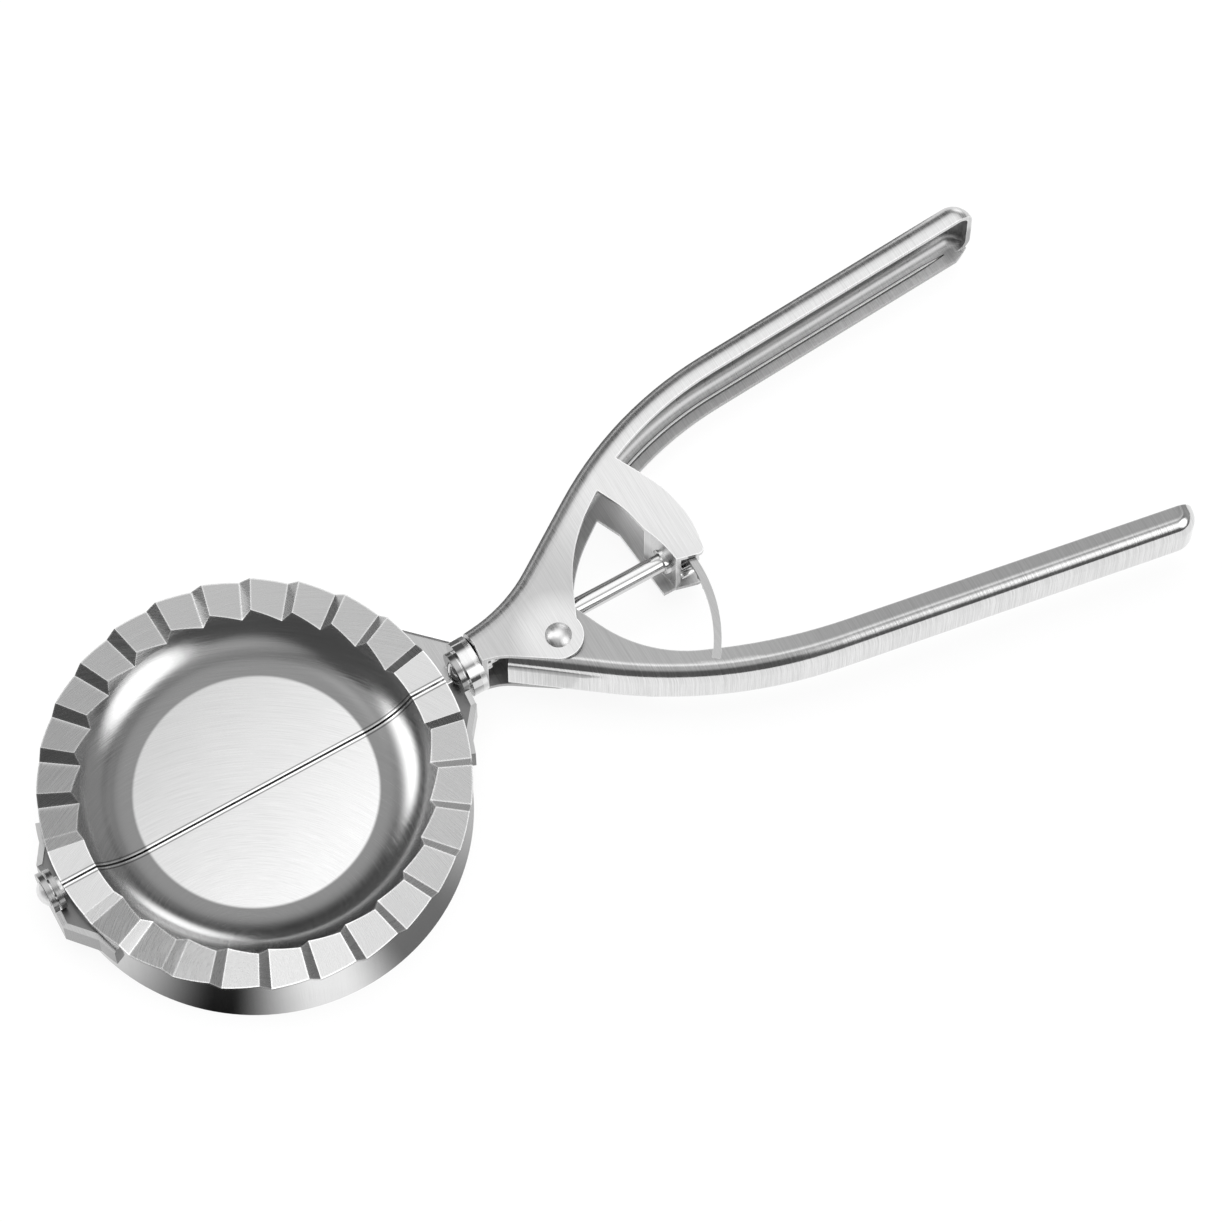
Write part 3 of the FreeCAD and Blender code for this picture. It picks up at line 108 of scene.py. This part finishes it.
class Graph:
    """Short way to add and join shader nodes."""

    def __init__(self, tree):
        self.tree = tree
        tree.nodes.clear()

    def add(self, kind, settings=None, **inputs):
        node = self.tree.nodes.new(kind)
        for name, value in (settings or {}).items():
            setattr(node, name, value)
        for name, value in inputs.items():
            self.feed(node.inputs[name.replace("_", " ")], value)
        return node

    def feed(self, socket, value):
        if isinstance(value, bpy.types.NodeSocket):
            self.tree.links.new(value, socket)
        else:
            socket.default_value = value

    def math(self, operation, *values):
        node = self.add("ShaderNodeMath", {"operation": operation})
        for socket, value in zip(node.inputs, values):
            self.feed(socket, value)
        return node.outputs[0]

    def product(self, first, *others):
        for other in others:
            first = self.math("MULTIPLY", first, other)
        return first

    def dot(self, first, second):
        node = self.add("ShaderNodeVectorMath", {"operation": "DOT_PRODUCT"})
        self.feed(node.inputs[0], first)
        self.feed(node.inputs[1], second)
        return node.outputs["Value"]

    def ramp(self, value, start, end, low, high, kind="SMOOTHSTEP"):
        """Map a value from one range to another."""
        node = self.add("ShaderNodeMapRange", {"interpolation_type": kind}, Value=value)
        node.inputs["From Min"].default_value = start
        node.inputs["From Max"].default_value = end
        self.feed(node.inputs["To Min"], low)
        self.feed(node.inputs["To Max"], high)
        return node.outputs[0]

    def spread(self, noise, low, high):
        """Map a noise value to a range."""
        return self.ramp(noise, NOISE_LOW, NOISE_HIGH, low, high, "LINEAR")

    def mixed(self, share, low, high):
        """Go from one value to another as a share goes from 0 to 1."""
        return self.ramp(share, 0.0, 1.0, low, high, "LINEAR")

    def bands(self, value, rows, unit, column=1):
        """Go smoothly from row to row. Each row starts with its place in the unit."""
        level = rows[0][column]
        for inner, outer in zip(rows, rows[1:]):
            level = self.ramp(value, inner[0] * unit, outer[0] * unit, level, outer[column])
        return level

    def noise(self, scale, **inputs):
        return self.add("ShaderNodeTexNoise", None, Scale=scale, **inputs).outputs["Fac"]

    def place(self):
        return self.add("ShaderNodeTexCoord").outputs["Object"]

    def normal(self):
        return self.add("ShaderNodeNewGeometry").outputs["Normal"]

    def parts(self, vector):
        return self.add("ShaderNodeSeparateXYZ", None, Vector=vector).outputs

    def from_line(self, vector, centre):
        """Parts of a place, counted from an upright line through the centre."""
        x, y, z = self.parts(vector)
        return self.math("SUBTRACT", x, centre[0]), self.math("SUBTRACT", y, centre[1]), z

    def length(self, x, y):
        return self.math("SQRT", self.math("ADD", self.product(x, x), self.product(y, y)))

    def reach(self, vector, centre):
        """Distance of a place from an upright line through the centre."""
        x, y, z = self.from_line(vector, centre)
        return self.length(x, y)

    def mix_shaders(self, share, first, second):
        node = self.add("ShaderNodeMixShader", None, Fac=share)
        self.feed(node.inputs[1], first.outputs[0])
        self.feed(node.inputs[2], second.outputs[0])
        return node

    def show(self, shader, output="ShaderNodeOutputMaterial"):
        """Send a shader to the output."""
        self.add(output, None, Surface=shader.outputs[0])


def new_material(name):
    material = bpy.data.materials.new(name)
    material.use_nodes = True
    return material, Graph(material.node_tree)


def new_object(name, points, faces, material):
    mesh = bpy.data.meshes.new(name)
    mesh.from_pydata(points, [], faces)
    mesh.materials.append(material)
    item = bpy.data.objects.new(name, mesh)
    scene.collection.objects.link(item)
    return item


# Brushed finish: width and length of a stroke, size of a smudge, and a place on the upright line that the
# mould's arcs run round.
STROKE_WIDTH = 0.22 * MM
STROKE_LENGTH = 14 * MM
SMUDGE = 18 * MM
ARC_CENTRE = (-22 * MM, -38 * MM, 0)
# Tones of the smudges and the roughness that they add or take, share of the roughness that the strokes add
# or take, and relief of the strokes.
SMUDGE_TONES = (0.96, 1.02)
SMUDGE_ROUGH = 0.03
STROKE_ROUGH = 0.25
STROKE_RELIEF = 0.22


def straight_strokes(graph, place, heading):
    """Path of strokes along a heading in degrees, seen from above, and up the walls."""
    turned = graph.add("ShaderNodeMapping", {"vector_type": "POINT"}, Vector=place)
    turned.inputs["Rotation"].default_value = (0, 0, math.radians(90 - heading))
    turned.inputs["Scale"].default_value = (1 / STROKE_WIDTH, 1 / STROKE_LENGTH, 1 / STROKE_LENGTH)
    return turned.outputs[0]


def arc_strokes(graph, place, centre):
    """Path of strokes that run in arcs round an upright line through the centre."""
    x, y, z = graph.from_line(place, centre)
    turn = graph.math("ARCTAN2", y, x)
    usual_reach = Vector(centre).to_2d().length + rim_radius / 2
    across = graph.math("DIVIDE", graph.math("ADD", graph.length(x, y), z), STROKE_WIDTH)
    along = graph.product(turn, usual_reach / STROKE_LENGTH)
    return graph.add("ShaderNodeCombineXYZ", None, X=across, Y=along).outputs[0]


def steel(name, grey, roughness, heading, contrast, grain, painted_light_and_finish):
    """Stainless steel with brush strokes in its roughness, colour and surface.

    A heading of None gives arcs. The painted light and finish is a function that gives the tone, which
    carries painted light and shade, and the added roughness at each place, or None.
    """
    material, graph = new_material(name)
    place = graph.place()
    if heading is None:
        path = arc_strokes(graph, place, ARC_CENTRE)
    else:
        path = straight_strokes(graph, place, heading)
    fine = graph.noise(1.0, Vector=path, Detail=4.0, Roughness=0.65)
    smudge = graph.noise(1 / SMUDGE, Vector=place, Detail=3.0)
    shade = graph.product(
        graph.spread(fine, 1 - contrast, 1 + contrast / 2),
        graph.spread(smudge, *SMUDGE_TONES),
    )
    rough = graph.math(
        "ADD",
        graph.spread(fine, roughness * (1 - STROKE_ROUGH), roughness * (1 + STROKE_ROUGH)),
        graph.spread(smudge, -SMUDGE_ROUGH, SMUDGE_ROUGH),
    )
    if painted_light_and_finish:
        # This tone carries painted light and shade.
        local_painted_tone, local_rough = painted_light_and_finish(graph, place)
        shade = graph.product(shade, local_painted_tone)
        rough = graph.math("ADD", rough, local_rough)
    tint = graph.add("ShaderNodeMix", {"data_type": "RGBA", "blend_type": "MULTIPLY"})
    tint.inputs["Factor"].default_value = 1.0
    colours = [socket for socket in tint.inputs if socket.type == "RGBA"]
    colours[0].default_value = (grey, grey, grey, 1)
    graph.feed(colours[1], shade)
    coloured = next(socket for socket in tint.outputs if socket.type == "RGBA")
    bump = graph.add("ShaderNodeBump", None, Height=fine, Strength=STROKE_RELIEF * grain)
    bump.inputs["Distance"].default_value = STROKE_WIDTH / 4
    shader = graph.add(
        "ShaderNodeBsdfPrincipled", None,
        Base_Color=coloured, Metallic=1.0, Roughness=rough, Normal=bump.outputs[0],
    )
    graph.show(shader)
    return material


# Painted highlight along edges: likeness of the rounded and the true direction at which the edge is bright
# and plain.
HIGHLIGHT_FROM = 0.94
HIGHLIGHT_TO = 0.995
# Width of the painted edge highlight in millimetres and its tone.
MOULD_HIGHLIGHT = (0.6, 1.8)
MOVING_HIGHLIGHT = (0.4, 1.5)
FIXED_HIGHLIGHT = (0.4, 1.4)


def painted_edge_highlight(graph, width, bright):
    """Tone that rises close to an edge: a painted highlight."""
    rounded = graph.add("ShaderNodeBevel", {"samples": 6}, Radius=width * MM)
    same = graph.dot(rounded.outputs[0], graph.normal())
    # The raised tone near the edge is a painted highlight.
    return graph.ramp(same, HIGHLIGHT_FROM, HIGHLIGHT_TO, bright, 1.0)


# Share of a face's direction along the upright at which it begins to count as flat, and counts fully.
FLAT_FROM = 0.955
FLAT_TO = 0.995


def upright_share(graph):
    """1 on faces that look straight up or down, 0 on walls."""
    return graph.math("ABSOLUTE", graph.parts(graph.normal())[2])


def flat_share(graph):
    """1 on flat faces that look up or down, 0 on rounded edges and walls."""
    return graph.ramp(upright_share(graph), FLAT_FROM, FLAT_TO, 0.0, 1.0)


# Finish of the mould by distance from its centre: millimetres, tone, roughness added. The dark tone of the
# cove is painted shade.
MOULD_BANDS = (
    (25.2, 1.0, 0.02),
    (26.0, 0.30, 0.0),
    (29.6, 0.30, 0.0),
    (32.6, 0.86, -0.04),
    (36.6, 0.84, -0.04),
    (37.4, 0.80, 0.05),
)
# Painted highlight and painted shade line across the split: millimetres from it, tone.
SPLIT_LIGHT_BANDS = ((0.62, 1.25), (0.72, 0.42), (0.88, 0.42), (1.05, 1.0))
# Painted light slope over the dish floor along a slanting direction: its parts, millimetres and tones of
# both ends.
DISH_LIGHT_X = 0.4
DISH_LIGHT_Y = 0.9
DISH_LIGHT_FROM = -24
DISH_LIGHT_TO = 22
DISH_LIGHT_DARK = 0.72
DISH_LIGHT_BRIGHT = 1.06


def mould_painted_light_and_finish(graph, place):
    """Bright floor with a painted light slope, a cove darkened with painted shade, a fine matt rim, a
    painted highlight and shade line along the split, and painted highlights at the edges.
    """
    reach = graph.reach(place, (0, 0))
    x, y, z = graph.parts(place)
    # Tone by distance from the centre: painted shade darkens the cove.
    painted_tone = graph.bands(reach, MOULD_BANDS, MM)
    rough = graph.bands(reach, MOULD_BANDS, MM, 2)
    # Painted highlight and painted shade line beside the split.
    edge = graph.bands(graph.math("ABSOLUTE", y), SPLIT_LIGHT_BANDS, MM)
    # Painted light slope over the dish floor, from darker to brighter.
    across = graph.math("SUBTRACT", graph.product(x, DISH_LIGHT_X), graph.product(y, DISH_LIGHT_Y))
    dish_light = graph.ramp(across, DISH_LIGHT_FROM * MM, DISH_LIGHT_TO * MM, DISH_LIGHT_DARK, DISH_LIGHT_BRIGHT, "LINEAR")
    dish_light = graph.ramp(reach, MOULD_BANDS[0][0] * MM, MOULD_BANDS[1][0] * MM, dish_light, 1.0)
    return graph.product(painted_tone, dish_light, edge, painted_edge_highlight(graph, *MOULD_HIGHLIGHT)), rough


# Moving handle: painted shade on its flat plates, darker further from the rivet, by millimetres from the
# rivet, and roughness added on edges and plates.
MOVING_SHADE_BANDS = ((20, 0.48), (70, 0.36))
MOVING_ROUGH = (-0.07, 0.16)


def moving_painted_shade_and_finish(graph, place):
    """Cross-brushed matt plates darkened with painted shade, between polished edges with a painted
    highlight.
    """
    flat = flat_share(graph)
    # Painted shade on the flat plates, darker further from the rivet.
    plate = graph.bands(graph.reach(place, pivot), MOVING_SHADE_BANDS, MM)
    painted_tone = graph.mixed(flat, 1.0, plate)
    return graph.product(painted_tone, painted_edge_highlight(graph, *MOVING_HIGHLIGHT)), graph.mixed(flat, *MOVING_ROUGH)


# Fixed handle: direction along it, painted light on its upper plate from the neck to the bracket, a painted
# highlight on the boss round the rivet and painted light on its lower flange, each by millimetres, and
# roughness added on edges and plates.
ALONG_X = 0.82
ALONG_Y = 0.57
PLATE_FROM = 10
PLATE_TO = 34
PLATE_LIGHT_TONES = (0.72, 1.0)
BOSS_HIGHLIGHT_BANDS = ((4, 0.98), (16, 0.5))
FLANGE_FROM = 30
FLANGE_TO = 130
FLANGE_LIGHT_TONES = (0.9, 1.35)
FIXED_ROUGH = (0.05, 0.10)
# Inside of its channel: painted shade tone where a face looks to the near side, and the directions between
# which it fades.
CHANNEL_SHADE_TONE = 0.60
CHANNEL_FACING = (-0.5, -0.1)
# Heights from the hinge line, in millimetres, between which the lower painted light and shade give way to
# the upper one.
FLANGE_HEIGHTS = (-3, 1)
CHANNEL_HEIGHTS = (-1, 3)


def fixed_painted_light_and_finish(graph, place):
    """Painted light from the neck to a bright bracket, a painted highlight round the rivet, painted light on
    the lower flange and painted shade in the channel; flats a little rougher than edges, which carry a
    painted highlight.
    """
    flat = flat_share(graph)
    x, y, z = graph.parts(place)
    along = graph.math("ADD", graph.product(x, ALONG_X), graph.product(y, ALONG_Y))
    start = pivot.x * ALONG_X + pivot.y * ALONG_Y
    # Painted light along the upper plate, brighter towards the bracket, and a painted highlight round the
    # rivet.
    plate = graph.ramp(along, start + PLATE_FROM * MM, start + PLATE_TO * MM, *PLATE_LIGHT_TONES)
    boss_highlight = graph.bands(graph.reach(place, pivot), BOSS_HIGHLIGHT_BANDS, MM)
    upper = graph.math("MAXIMUM", plate, boss_highlight)
    # Painted light that brightens the lower flange towards the bracket.
    lower_light = graph.ramp(along, start + FLANGE_FROM * MM, start + FLANGE_TO * MM, *FLANGE_LIGHT_TONES)
    # Painted shade on channel faces that look to the near side.
    inner = graph.ramp(graph.parts(graph.normal())[1], *CHANNEL_FACING, CHANNEL_SHADE_TONE, 1.0)

    def over(heights, below, above):
        low, high = (hinge_height + height * MM for height in heights)
        return graph.ramp(z, low, high, below, above)

    channel_shade = over(CHANNEL_HEIGHTS, inner, 1.0)
    painted_tone = graph.mixed(flat, channel_shade, over(FLANGE_HEIGHTS, lower_light, upper))
    return graph.product(painted_tone, painted_edge_highlight(graph, *FIXED_HIGHLIGHT)), graph.mixed(flat, *FIXED_ROUGH)


# Bead: upright share at which its flank ends and its crown begins, tones of both: painted shade on the
# flanks, a painted highlight on the crown.
BEAD_SHARES = (0.84, 0.93)
BEAD_LIGHT_TONES = (0.1, 1.1)


def bead_painted_light(graph, place):
    """Painted highlight on the crown between flanks darkened with painted shade."""
    return graph.ramp(upright_share(graph), *BEAD_SHARES, *BEAD_LIGHT_TONES), 0.0


# Steels: name, grey, roughness, heading of the strokes, contrast, grain, painted light and finish.
STEELS = (
    ("mould_steel", 0.66, 0.22, None, 0.12, 1.0, mould_painted_light_and_finish),
    ("skirt_steel", 0.80, 0.14, 90, 0.05, 0.4, None),
    ("fixed_handle_steel", 0.68, 0.27, 112, 0.20, 0.5, fixed_painted_light_and_finish),
    ("moving_handle_steel", 0.76, 0.20, 80, 0.20, 1.0, moving_painted_shade_and_finish),
    ("polished_steel", 0.68, 0.12, 90, 0.05, 0.4, None),
    ("rivet_steel", 0.86, 0.44, 90, 0.04, 0.3, None),
    ("ear_steel", 0.38, 0.22, 90, 0.12, 0.8, None),
    ("bright_steel", 0.88, 0.30, 90, 0.05, 0.4, None),
    ("bead_steel", 0.80, 0.22, 90, 0.05, 0.4, bead_painted_light),
    # Near-black steel of the webs: painted shade in the gaps by the hinges.
    ("gap_shade_steel", 0.17, 0.34, 90, 0.12, 0.8, None),
    ("spring_wire", 0.52, 0.20, 0, 0.08, 0.5, None),
)
# Steel of the CAD nodes: steel, width of the rounded edges in millimetres, least turn of the faces at an
# edge that is rounded in degrees, nodes.
DRESS = (
    ("mould_steel", 0.22, 28, ("fixed_mould_plate", "moving_mould_plate")),
    ("skirt_steel", 0.15, 28, ("fixed_mould_skirt", "moving_mould_skirt")),
    ("ear_steel", 0.15, 28, ("fixed_front_ear", "moving_front_ear", "moving_rear_ear")),
    ("bright_steel", 0.15, 28, ("fixed_rear_ear",)),
    ("fixed_handle_steel", 0.2, 50, ("fixed_handle",)),
    ("moving_handle_steel", 0.2, 50, ("moving_handle",)),
    ("polished_steel", 0.12, 28, ("neck_collar", "drive_shaft", "pinion_pin", "shaft_end_bush")),
    ("polished_steel", 0.1, 28, ("pivot_sleeve", "front_hinge_washer", "rear_hinge_washer")),
    ("rivet_steel", 0.12, 28, ("front_hinge_rivet", "pivot_rivet")),
    ("ear_steel", 0.1, 28, ("arc_rack",)),
    ("polished_steel", 0.05, 28, ("pinion_gear",)),
    ("spring_wire", 0.05, 28, ("return_spring",)),
)


def dress_nodes(steels):
    """Give the CAD nodes their steel and slightly rounded edges."""
    for steel_name, edge, sharp, names in DRESS:
        for name in names:
            item = nodes[name]
            item.data.materials.clear()
            item.data.materials.append(steels[steel_name])
            bevel = item.modifiers.new("edges", "BEVEL")
            bevel.width = edge * MM
            bevel.segments = 2
            bevel.limit_method = "ANGLE"
            bevel.angle_limit = math.radians(sharp)
            bevel.harden_normals = True
            bevel.use_clamp_overlap = True


# Webs between the hinge strips and the skirt, in dark steel that is painted shade in the gaps there, in
# millimetres from the mould's centre: name, body, steel, end of the hinge line, side of it, outer outline
# from the split to the skirt. The last point is on the skirt.
WEBS = (
    (
        "moving_rear_web", "folder", "gap_shade_steel", 1, -1,
        ((47.2, 0.3), (47.2, 7.0), (43.2, 11.88)),
    ),
    (
        "fixed_rear_web", "frame", "ear_steel", 1, 1,
        ((47.0, 0.3), (47.0, 3.6), (48.7, 3.6), (48.7, 5.4), (51.05, 5.4), (51.05, 7.0), (41.65, 16.5)),
    ),
    (
        "fixed_front_web", "frame", "gap_shade_steel", -1, 1,
        ((46.2, 0.3), (46.2, 7.0), (43.51, 10.68)),
    ),
    (
        "moving_front_web", "folder", "gap_shade_steel", -1, -1,
        ((46.0, 0.3), (46.0, 3.6), (47.85, 3.6), (47.85, 7.0), (42.97, 12.66)),
    ),
)
# Skirt's radius, the webs' upper face below the hinge line and their sheet, in millimetres.
SKIRT_RADIUS = 44.8
WEB_TOP = 3.2
WEB_SHEET = 1.0
WEB_STEPS = 8


def on_circle(radius, turn):
    return radius * math.cos(turn), radius * math.sin(turn)


def make_webs(steels):
    """Small webs between the hinge strips and the skirt, under the rim, in dark steel that is painted shade
    in the gaps.
    """
    for name, body, steel_name, end, side, outline in WEBS:
        first = math.asin(outline[0][1] / SKIRT_RADIUS)
        last = math.asin(outline[-1][1] / SKIRT_RADIUS)
        turns = [last + (first - last) * step / WEB_STEPS for step in range(1, WEB_STEPS + 1)]
        plan = list(outline) + [on_circle(SKIRT_RADIUS, turn) for turn in turns]
        count = len(plan)
        points = []
        for depth in (WEB_TOP, WEB_TOP + WEB_SHEET):
            points += [(end * x * MM, side * y * MM, hinge_height - depth * MM) for x, y in plan]
        walls = [(i, (i + 1) % count, (i + 1) % count + count, i + count) for i in range(count)]
        faces = [tuple(reversed(range(count))), tuple(range(count, 2 * count))] + walls
        if end * side > 0:
            faces = [tuple(reversed(face)) for face in faces]
        web = new_object(name, points, faces, steels[steel_name])
        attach(web, body)


# Pressed bead along the lower flange of the fixed handle. Corners of the handle's outer edge in
# millimetres past and beside the rivet, and the curve of the middle one.
EDGE_CORNERS = ((-5.9, 12.25), (35.5, 39.6), (124.8, 45.0))
EDGE_CURVE = 85.0
# The bead's distance from that edge, its half width, the flange below the hinge line, the share of the
# curve left free at the start and the length left free at the end.
BEAD_INSET = 4.4
BEAD_HALF = 0.5
BEAD_DROP = 7.22
BEAD_FREE_START = 0.3
BEAD_FREE_END = 6.0
# Steps along each run, sides of the section, share of the width at both tips and steps of their taper.
BEAD_STEPS = 24
BEAD_SIDES = 16
BEAD_TIP = 0.25
BEAD_TAPER = 3


def bead_line():
    """Places along the bead with the direction to its left side."""
    start, corner, end = (Vector(point) for point in EDGE_CORNERS)
    first = (corner - start).normalized()
    second = (end - corner).normalized()
    first_turn = math.atan2(first.y, first.x)
    second_turn = math.atan2(second.y, second.x)
    tangent = EDGE_CURVE * math.tan((first_turn - second_turn) / 2)
    arc_end = corner + second * tangent
    centre = arc_end + Vector((second.y, -second.x)) * EDGE_CURVE
    line = []
    for step in range(BEAD_STEPS + 1):
        share = BEAD_FREE_START + (1 - BEAD_FREE_START) * step / BEAD_STEPS
        turn = first_turn + (second_turn - first_turn) * share
        left = Vector((-math.sin(turn), math.cos(turn)))
        line.append((centre + left * (EDGE_CURVE - BEAD_INSET), left))
    left = Vector((-second.y, second.x))
    run = (end - arc_end).length - BEAD_FREE_END
    for step in range(1, BEAD_STEPS + 1):
        line.append((arc_end - left * BEAD_INSET + second * run * step / BEAD_STEPS, left))
    return line


def make_bead(steels):
    """Half-sunk round bead that stiffens the lower flange."""
    line = bead_line()
    last = len(line) - 1
    points = []
    for index, (place, left) in enumerate(line):
        from_tip = min(index, last - index)
        size = BEAD_HALF * min(1.0, BEAD_TIP + from_tip / BEAD_TAPER)
        for side in range(BEAD_SIDES):
            turn = 2 * math.pi * side / BEAD_SIDES
            across = place + left * size * math.cos(turn)
            height = hinge_height - (BEAD_DROP - size * math.sin(turn)) * MM
            points.append((pivot.x + across.x * MM, pivot.y + across.y * MM, height))
    faces = []
    for index in range(last):
        for side in range(BEAD_SIDES):
            near = index * BEAD_SIDES + side
            beside = index * BEAD_SIDES + (side + 1) % BEAD_SIDES
            faces.append((near, beside, beside + BEAD_SIDES, near + BEAD_SIDES))
    faces.append(tuple(reversed(range(BEAD_SIDES))))
    faces.append(tuple(range(last * BEAD_SIDES, (last + 1) * BEAD_SIDES)))
    bead = new_object("flange_bead", points, faces, steels["bead_steel"])
    bead.data.polygons.foreach_set("use_smooth", [len(face) == 4 for face in faces])
    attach(bead, "frame")


# Floor in metres, just under the tool, and the share of its true shade that shows.
FLOOR_SIZE = 12.0
FLOOR_GAP = 0.05 * MM
SHADOW_SHARE = 0.1
# Scale of the speckle in its paint and the greys that it runs between.
PAINT_SCALE = 400.0
PAINT_GREYS = (0.9, 0.94)


def make_floor():
    """Pale floor that the camera and the metal see as white, with a soft trace of shadow."""
    material, graph = new_material("floor_paint")
    paint = graph.spread(graph.noise(PAINT_SCALE, Detail=2.0), *PAINT_GREYS)
    diffuse = graph.add("ShaderNodeBsdfDiffuse", None, Color=paint)
    glow = graph.add("ShaderNodeEmission", None, Color=(1, 1, 1, 1), Strength=1.0)
    rays = graph.add("ShaderNodeLightPath").outputs
    seen = graph.math("MAXIMUM", rays["Is Camera Ray"], rays["Is Glossy Ray"])
    seen = graph.math("MAXIMUM", seen, rays["Is Transmission Ray"])
    graph.show(graph.mix_shaders(graph.product(seen, 1 - SHADOW_SHARE), diffuse, glow))
    half = FLOOR_SIZE / 2
    corners = [(-half, -half, 0), (half, -half, 0), (half, half, 0), (-half, half, 0)]
    floor = new_object("floor", corners, [(0, 1, 2, 3)], material)
    floor.location.z = floor_height - FLOOR_GAP


# Black cards on the floor, in millimetres: corners of the one behind the fixed handle, and both edges of
# the one round the near side of the mould. A third one lies under the mould as painted shade.
FAR_CORNERS = ((50, 8), (104, 37), (196, 43), (190, 190), (40, 150))
RING_INSIDE = 43
RING_OUTSIDE = 66
# Corners of the round cards, in degrees round the mould, and how far all cards lie below the tool.
RING_TURNS = range(-174, 7, 6)
DISC_TURNS = range(0, 360, 10)
CARD_GAP = 0.02 * MM
# Scale of the speckle in their cloth and the greys that it runs between.
CLOTH_SCALE = 300.0
CLOTH_GREYS = (0.01, 0.02)
# Cover of the cards: degrees round the mould, share.
FAR_SHADES = ((0, 0.86),)
MOULD_SHADES = ((0, 0.95),)
RING_SHADES = (
    (-168, 0.2),
    (-131, 1.0),
    (-127, 1.0),
    (-101, 0.0),
    (-95, 0.0),
    (-75, 0.84),
    (-62, 0.84),
    (-30, 0.5),
    (-8, 0.0),
)


def ring_corners():
    """Outline of the card that lies round the near side of the mould."""
    turns = [math.radians(turn) for turn in RING_TURNS]
    inside = [on_circle(RING_INSIDE, turn) for turn in turns]
    outside = [on_circle(RING_OUTSIDE, turn) for turn in reversed(turns)]
    return inside + outside


def disc_corners():
    """Outline of the card under the mould, which is painted shade in place of the shadow under it."""
    return [on_circle(RING_INSIDE, math.radians(turn)) for turn in DISC_TURNS]


def make_card(name, corners, shades):
    """Black card flat on the floor, which only the metal's reflections see."""
    material, graph = new_material("black_card")
    cloth = graph.spread(graph.noise(CLOTH_SCALE, Detail=2.0), *CLOTH_GREYS)
    black = graph.add("ShaderNodeBsdfDiffuse", None, Color=cloth)
    clear = graph.add("ShaderNodeBsdfTransparent")
    x, y, z = graph.parts(graph.place())
    cover = graph.bands(graph.math("ARCTAN2", y, x), shades, math.radians(1))
    graph.show(graph.mix_shaders(cover, clear, black))
    points = [(x * MM, y * MM, 0) for x, y in corners]
    card = new_object(name, points, [tuple(range(len(points)))], material)
    card.location.z = floor_height - CARD_GAP
    card.visible_camera = False
    card.visible_diffuse = False
    card.visible_shadow = False


# Bright zones of the studio as seen from the tool: to the right, ahead, up, then the angles at which
# the zone begins to fade and ends, and its brightness.
ZONES = (
    ((0.0, 0.34, 0.94), 12, 42, 1.35),
    ((0.72, -0.38, 0.58), 12, 29, 2.1),
    ((-0.78, 0.18, 0.60), 9, 24, 2.4),
    ((-0.40, 0.0, 0.916), 5, 16, 0.9),
    ((0.06, -0.42, 0.905), 8, 30, 0.42),
    ((0.25, 0.96, 0.08), 6, 20, 2.0),
    ((0.87, 0.38, 0.32), 10, 40, 0.25),
)
DIM_ROOM = 0.11


def make_light():
    """Studio round the tool: soft bright zones in a dim room."""
    world = bpy.data.worlds.new("studio")
    scene.world = world
    world.use_nodes = True
    graph = Graph(world.node_tree)
    direction = graph.add("ShaderNodeTexCoord").outputs["Generated"]
    total = DIM_ROOM
    for (right, ahead, up), fade, end, brightness in ZONES:
        aim = (view_right * right + view_ahead * ahead + Vector((0, 0, up))).normalized()
        near = graph.dot(direction, aim)
        outer = math.cos(math.radians(end))
        inner = math.cos(math.radians(fade))
        total = graph.math("ADD", graph.ramp(near, outer, inner, 0.0, brightness), total)
    shade = graph.add("ShaderNodeBackground", None, Color=(1, 1, 1, 1), Strength=total)
    graph.show(shade, "ShaderNodeOutputWorld")


# Softbox: width in metres, watts, place.
SOFTBOX_SIZE = 0.7
SOFTBOX_POWER = 7.0
SOFTBOX_PLACE = (0.08, 0.02, 1.0)


def make_softbox():
    """Overhead softbox that gives the floor its even light and soft shadow."""
    data = bpy.data.lights.new("softbox", "AREA")
    data.shape = "DISK"
    data.size = SOFTBOX_SIZE
    data.energy = SOFTBOX_POWER
    lamp = bpy.data.objects.new("softbox", data)
    lamp.location = SOFTBOX_PLACE
    lamp.visible_glossy = False
    scene.collection.objects.link(lamp)


make_camera()
make_floor()
make_light()
make_card("far_flag", FAR_CORNERS, FAR_SHADES)
make_card("ring_flag", ring_corners(), RING_SHADES)
# Card under the mould: painted shade that the metal's reflections see in place of its shadow.
make_card("mould_shade_card", disc_corners(), MOULD_SHADES)
make_softbox()
all_steels = {row[0]: steel(*row) for row in STEELS}
dress_nodes(all_steels)
make_webs(all_steels)
make_bead(all_steels)
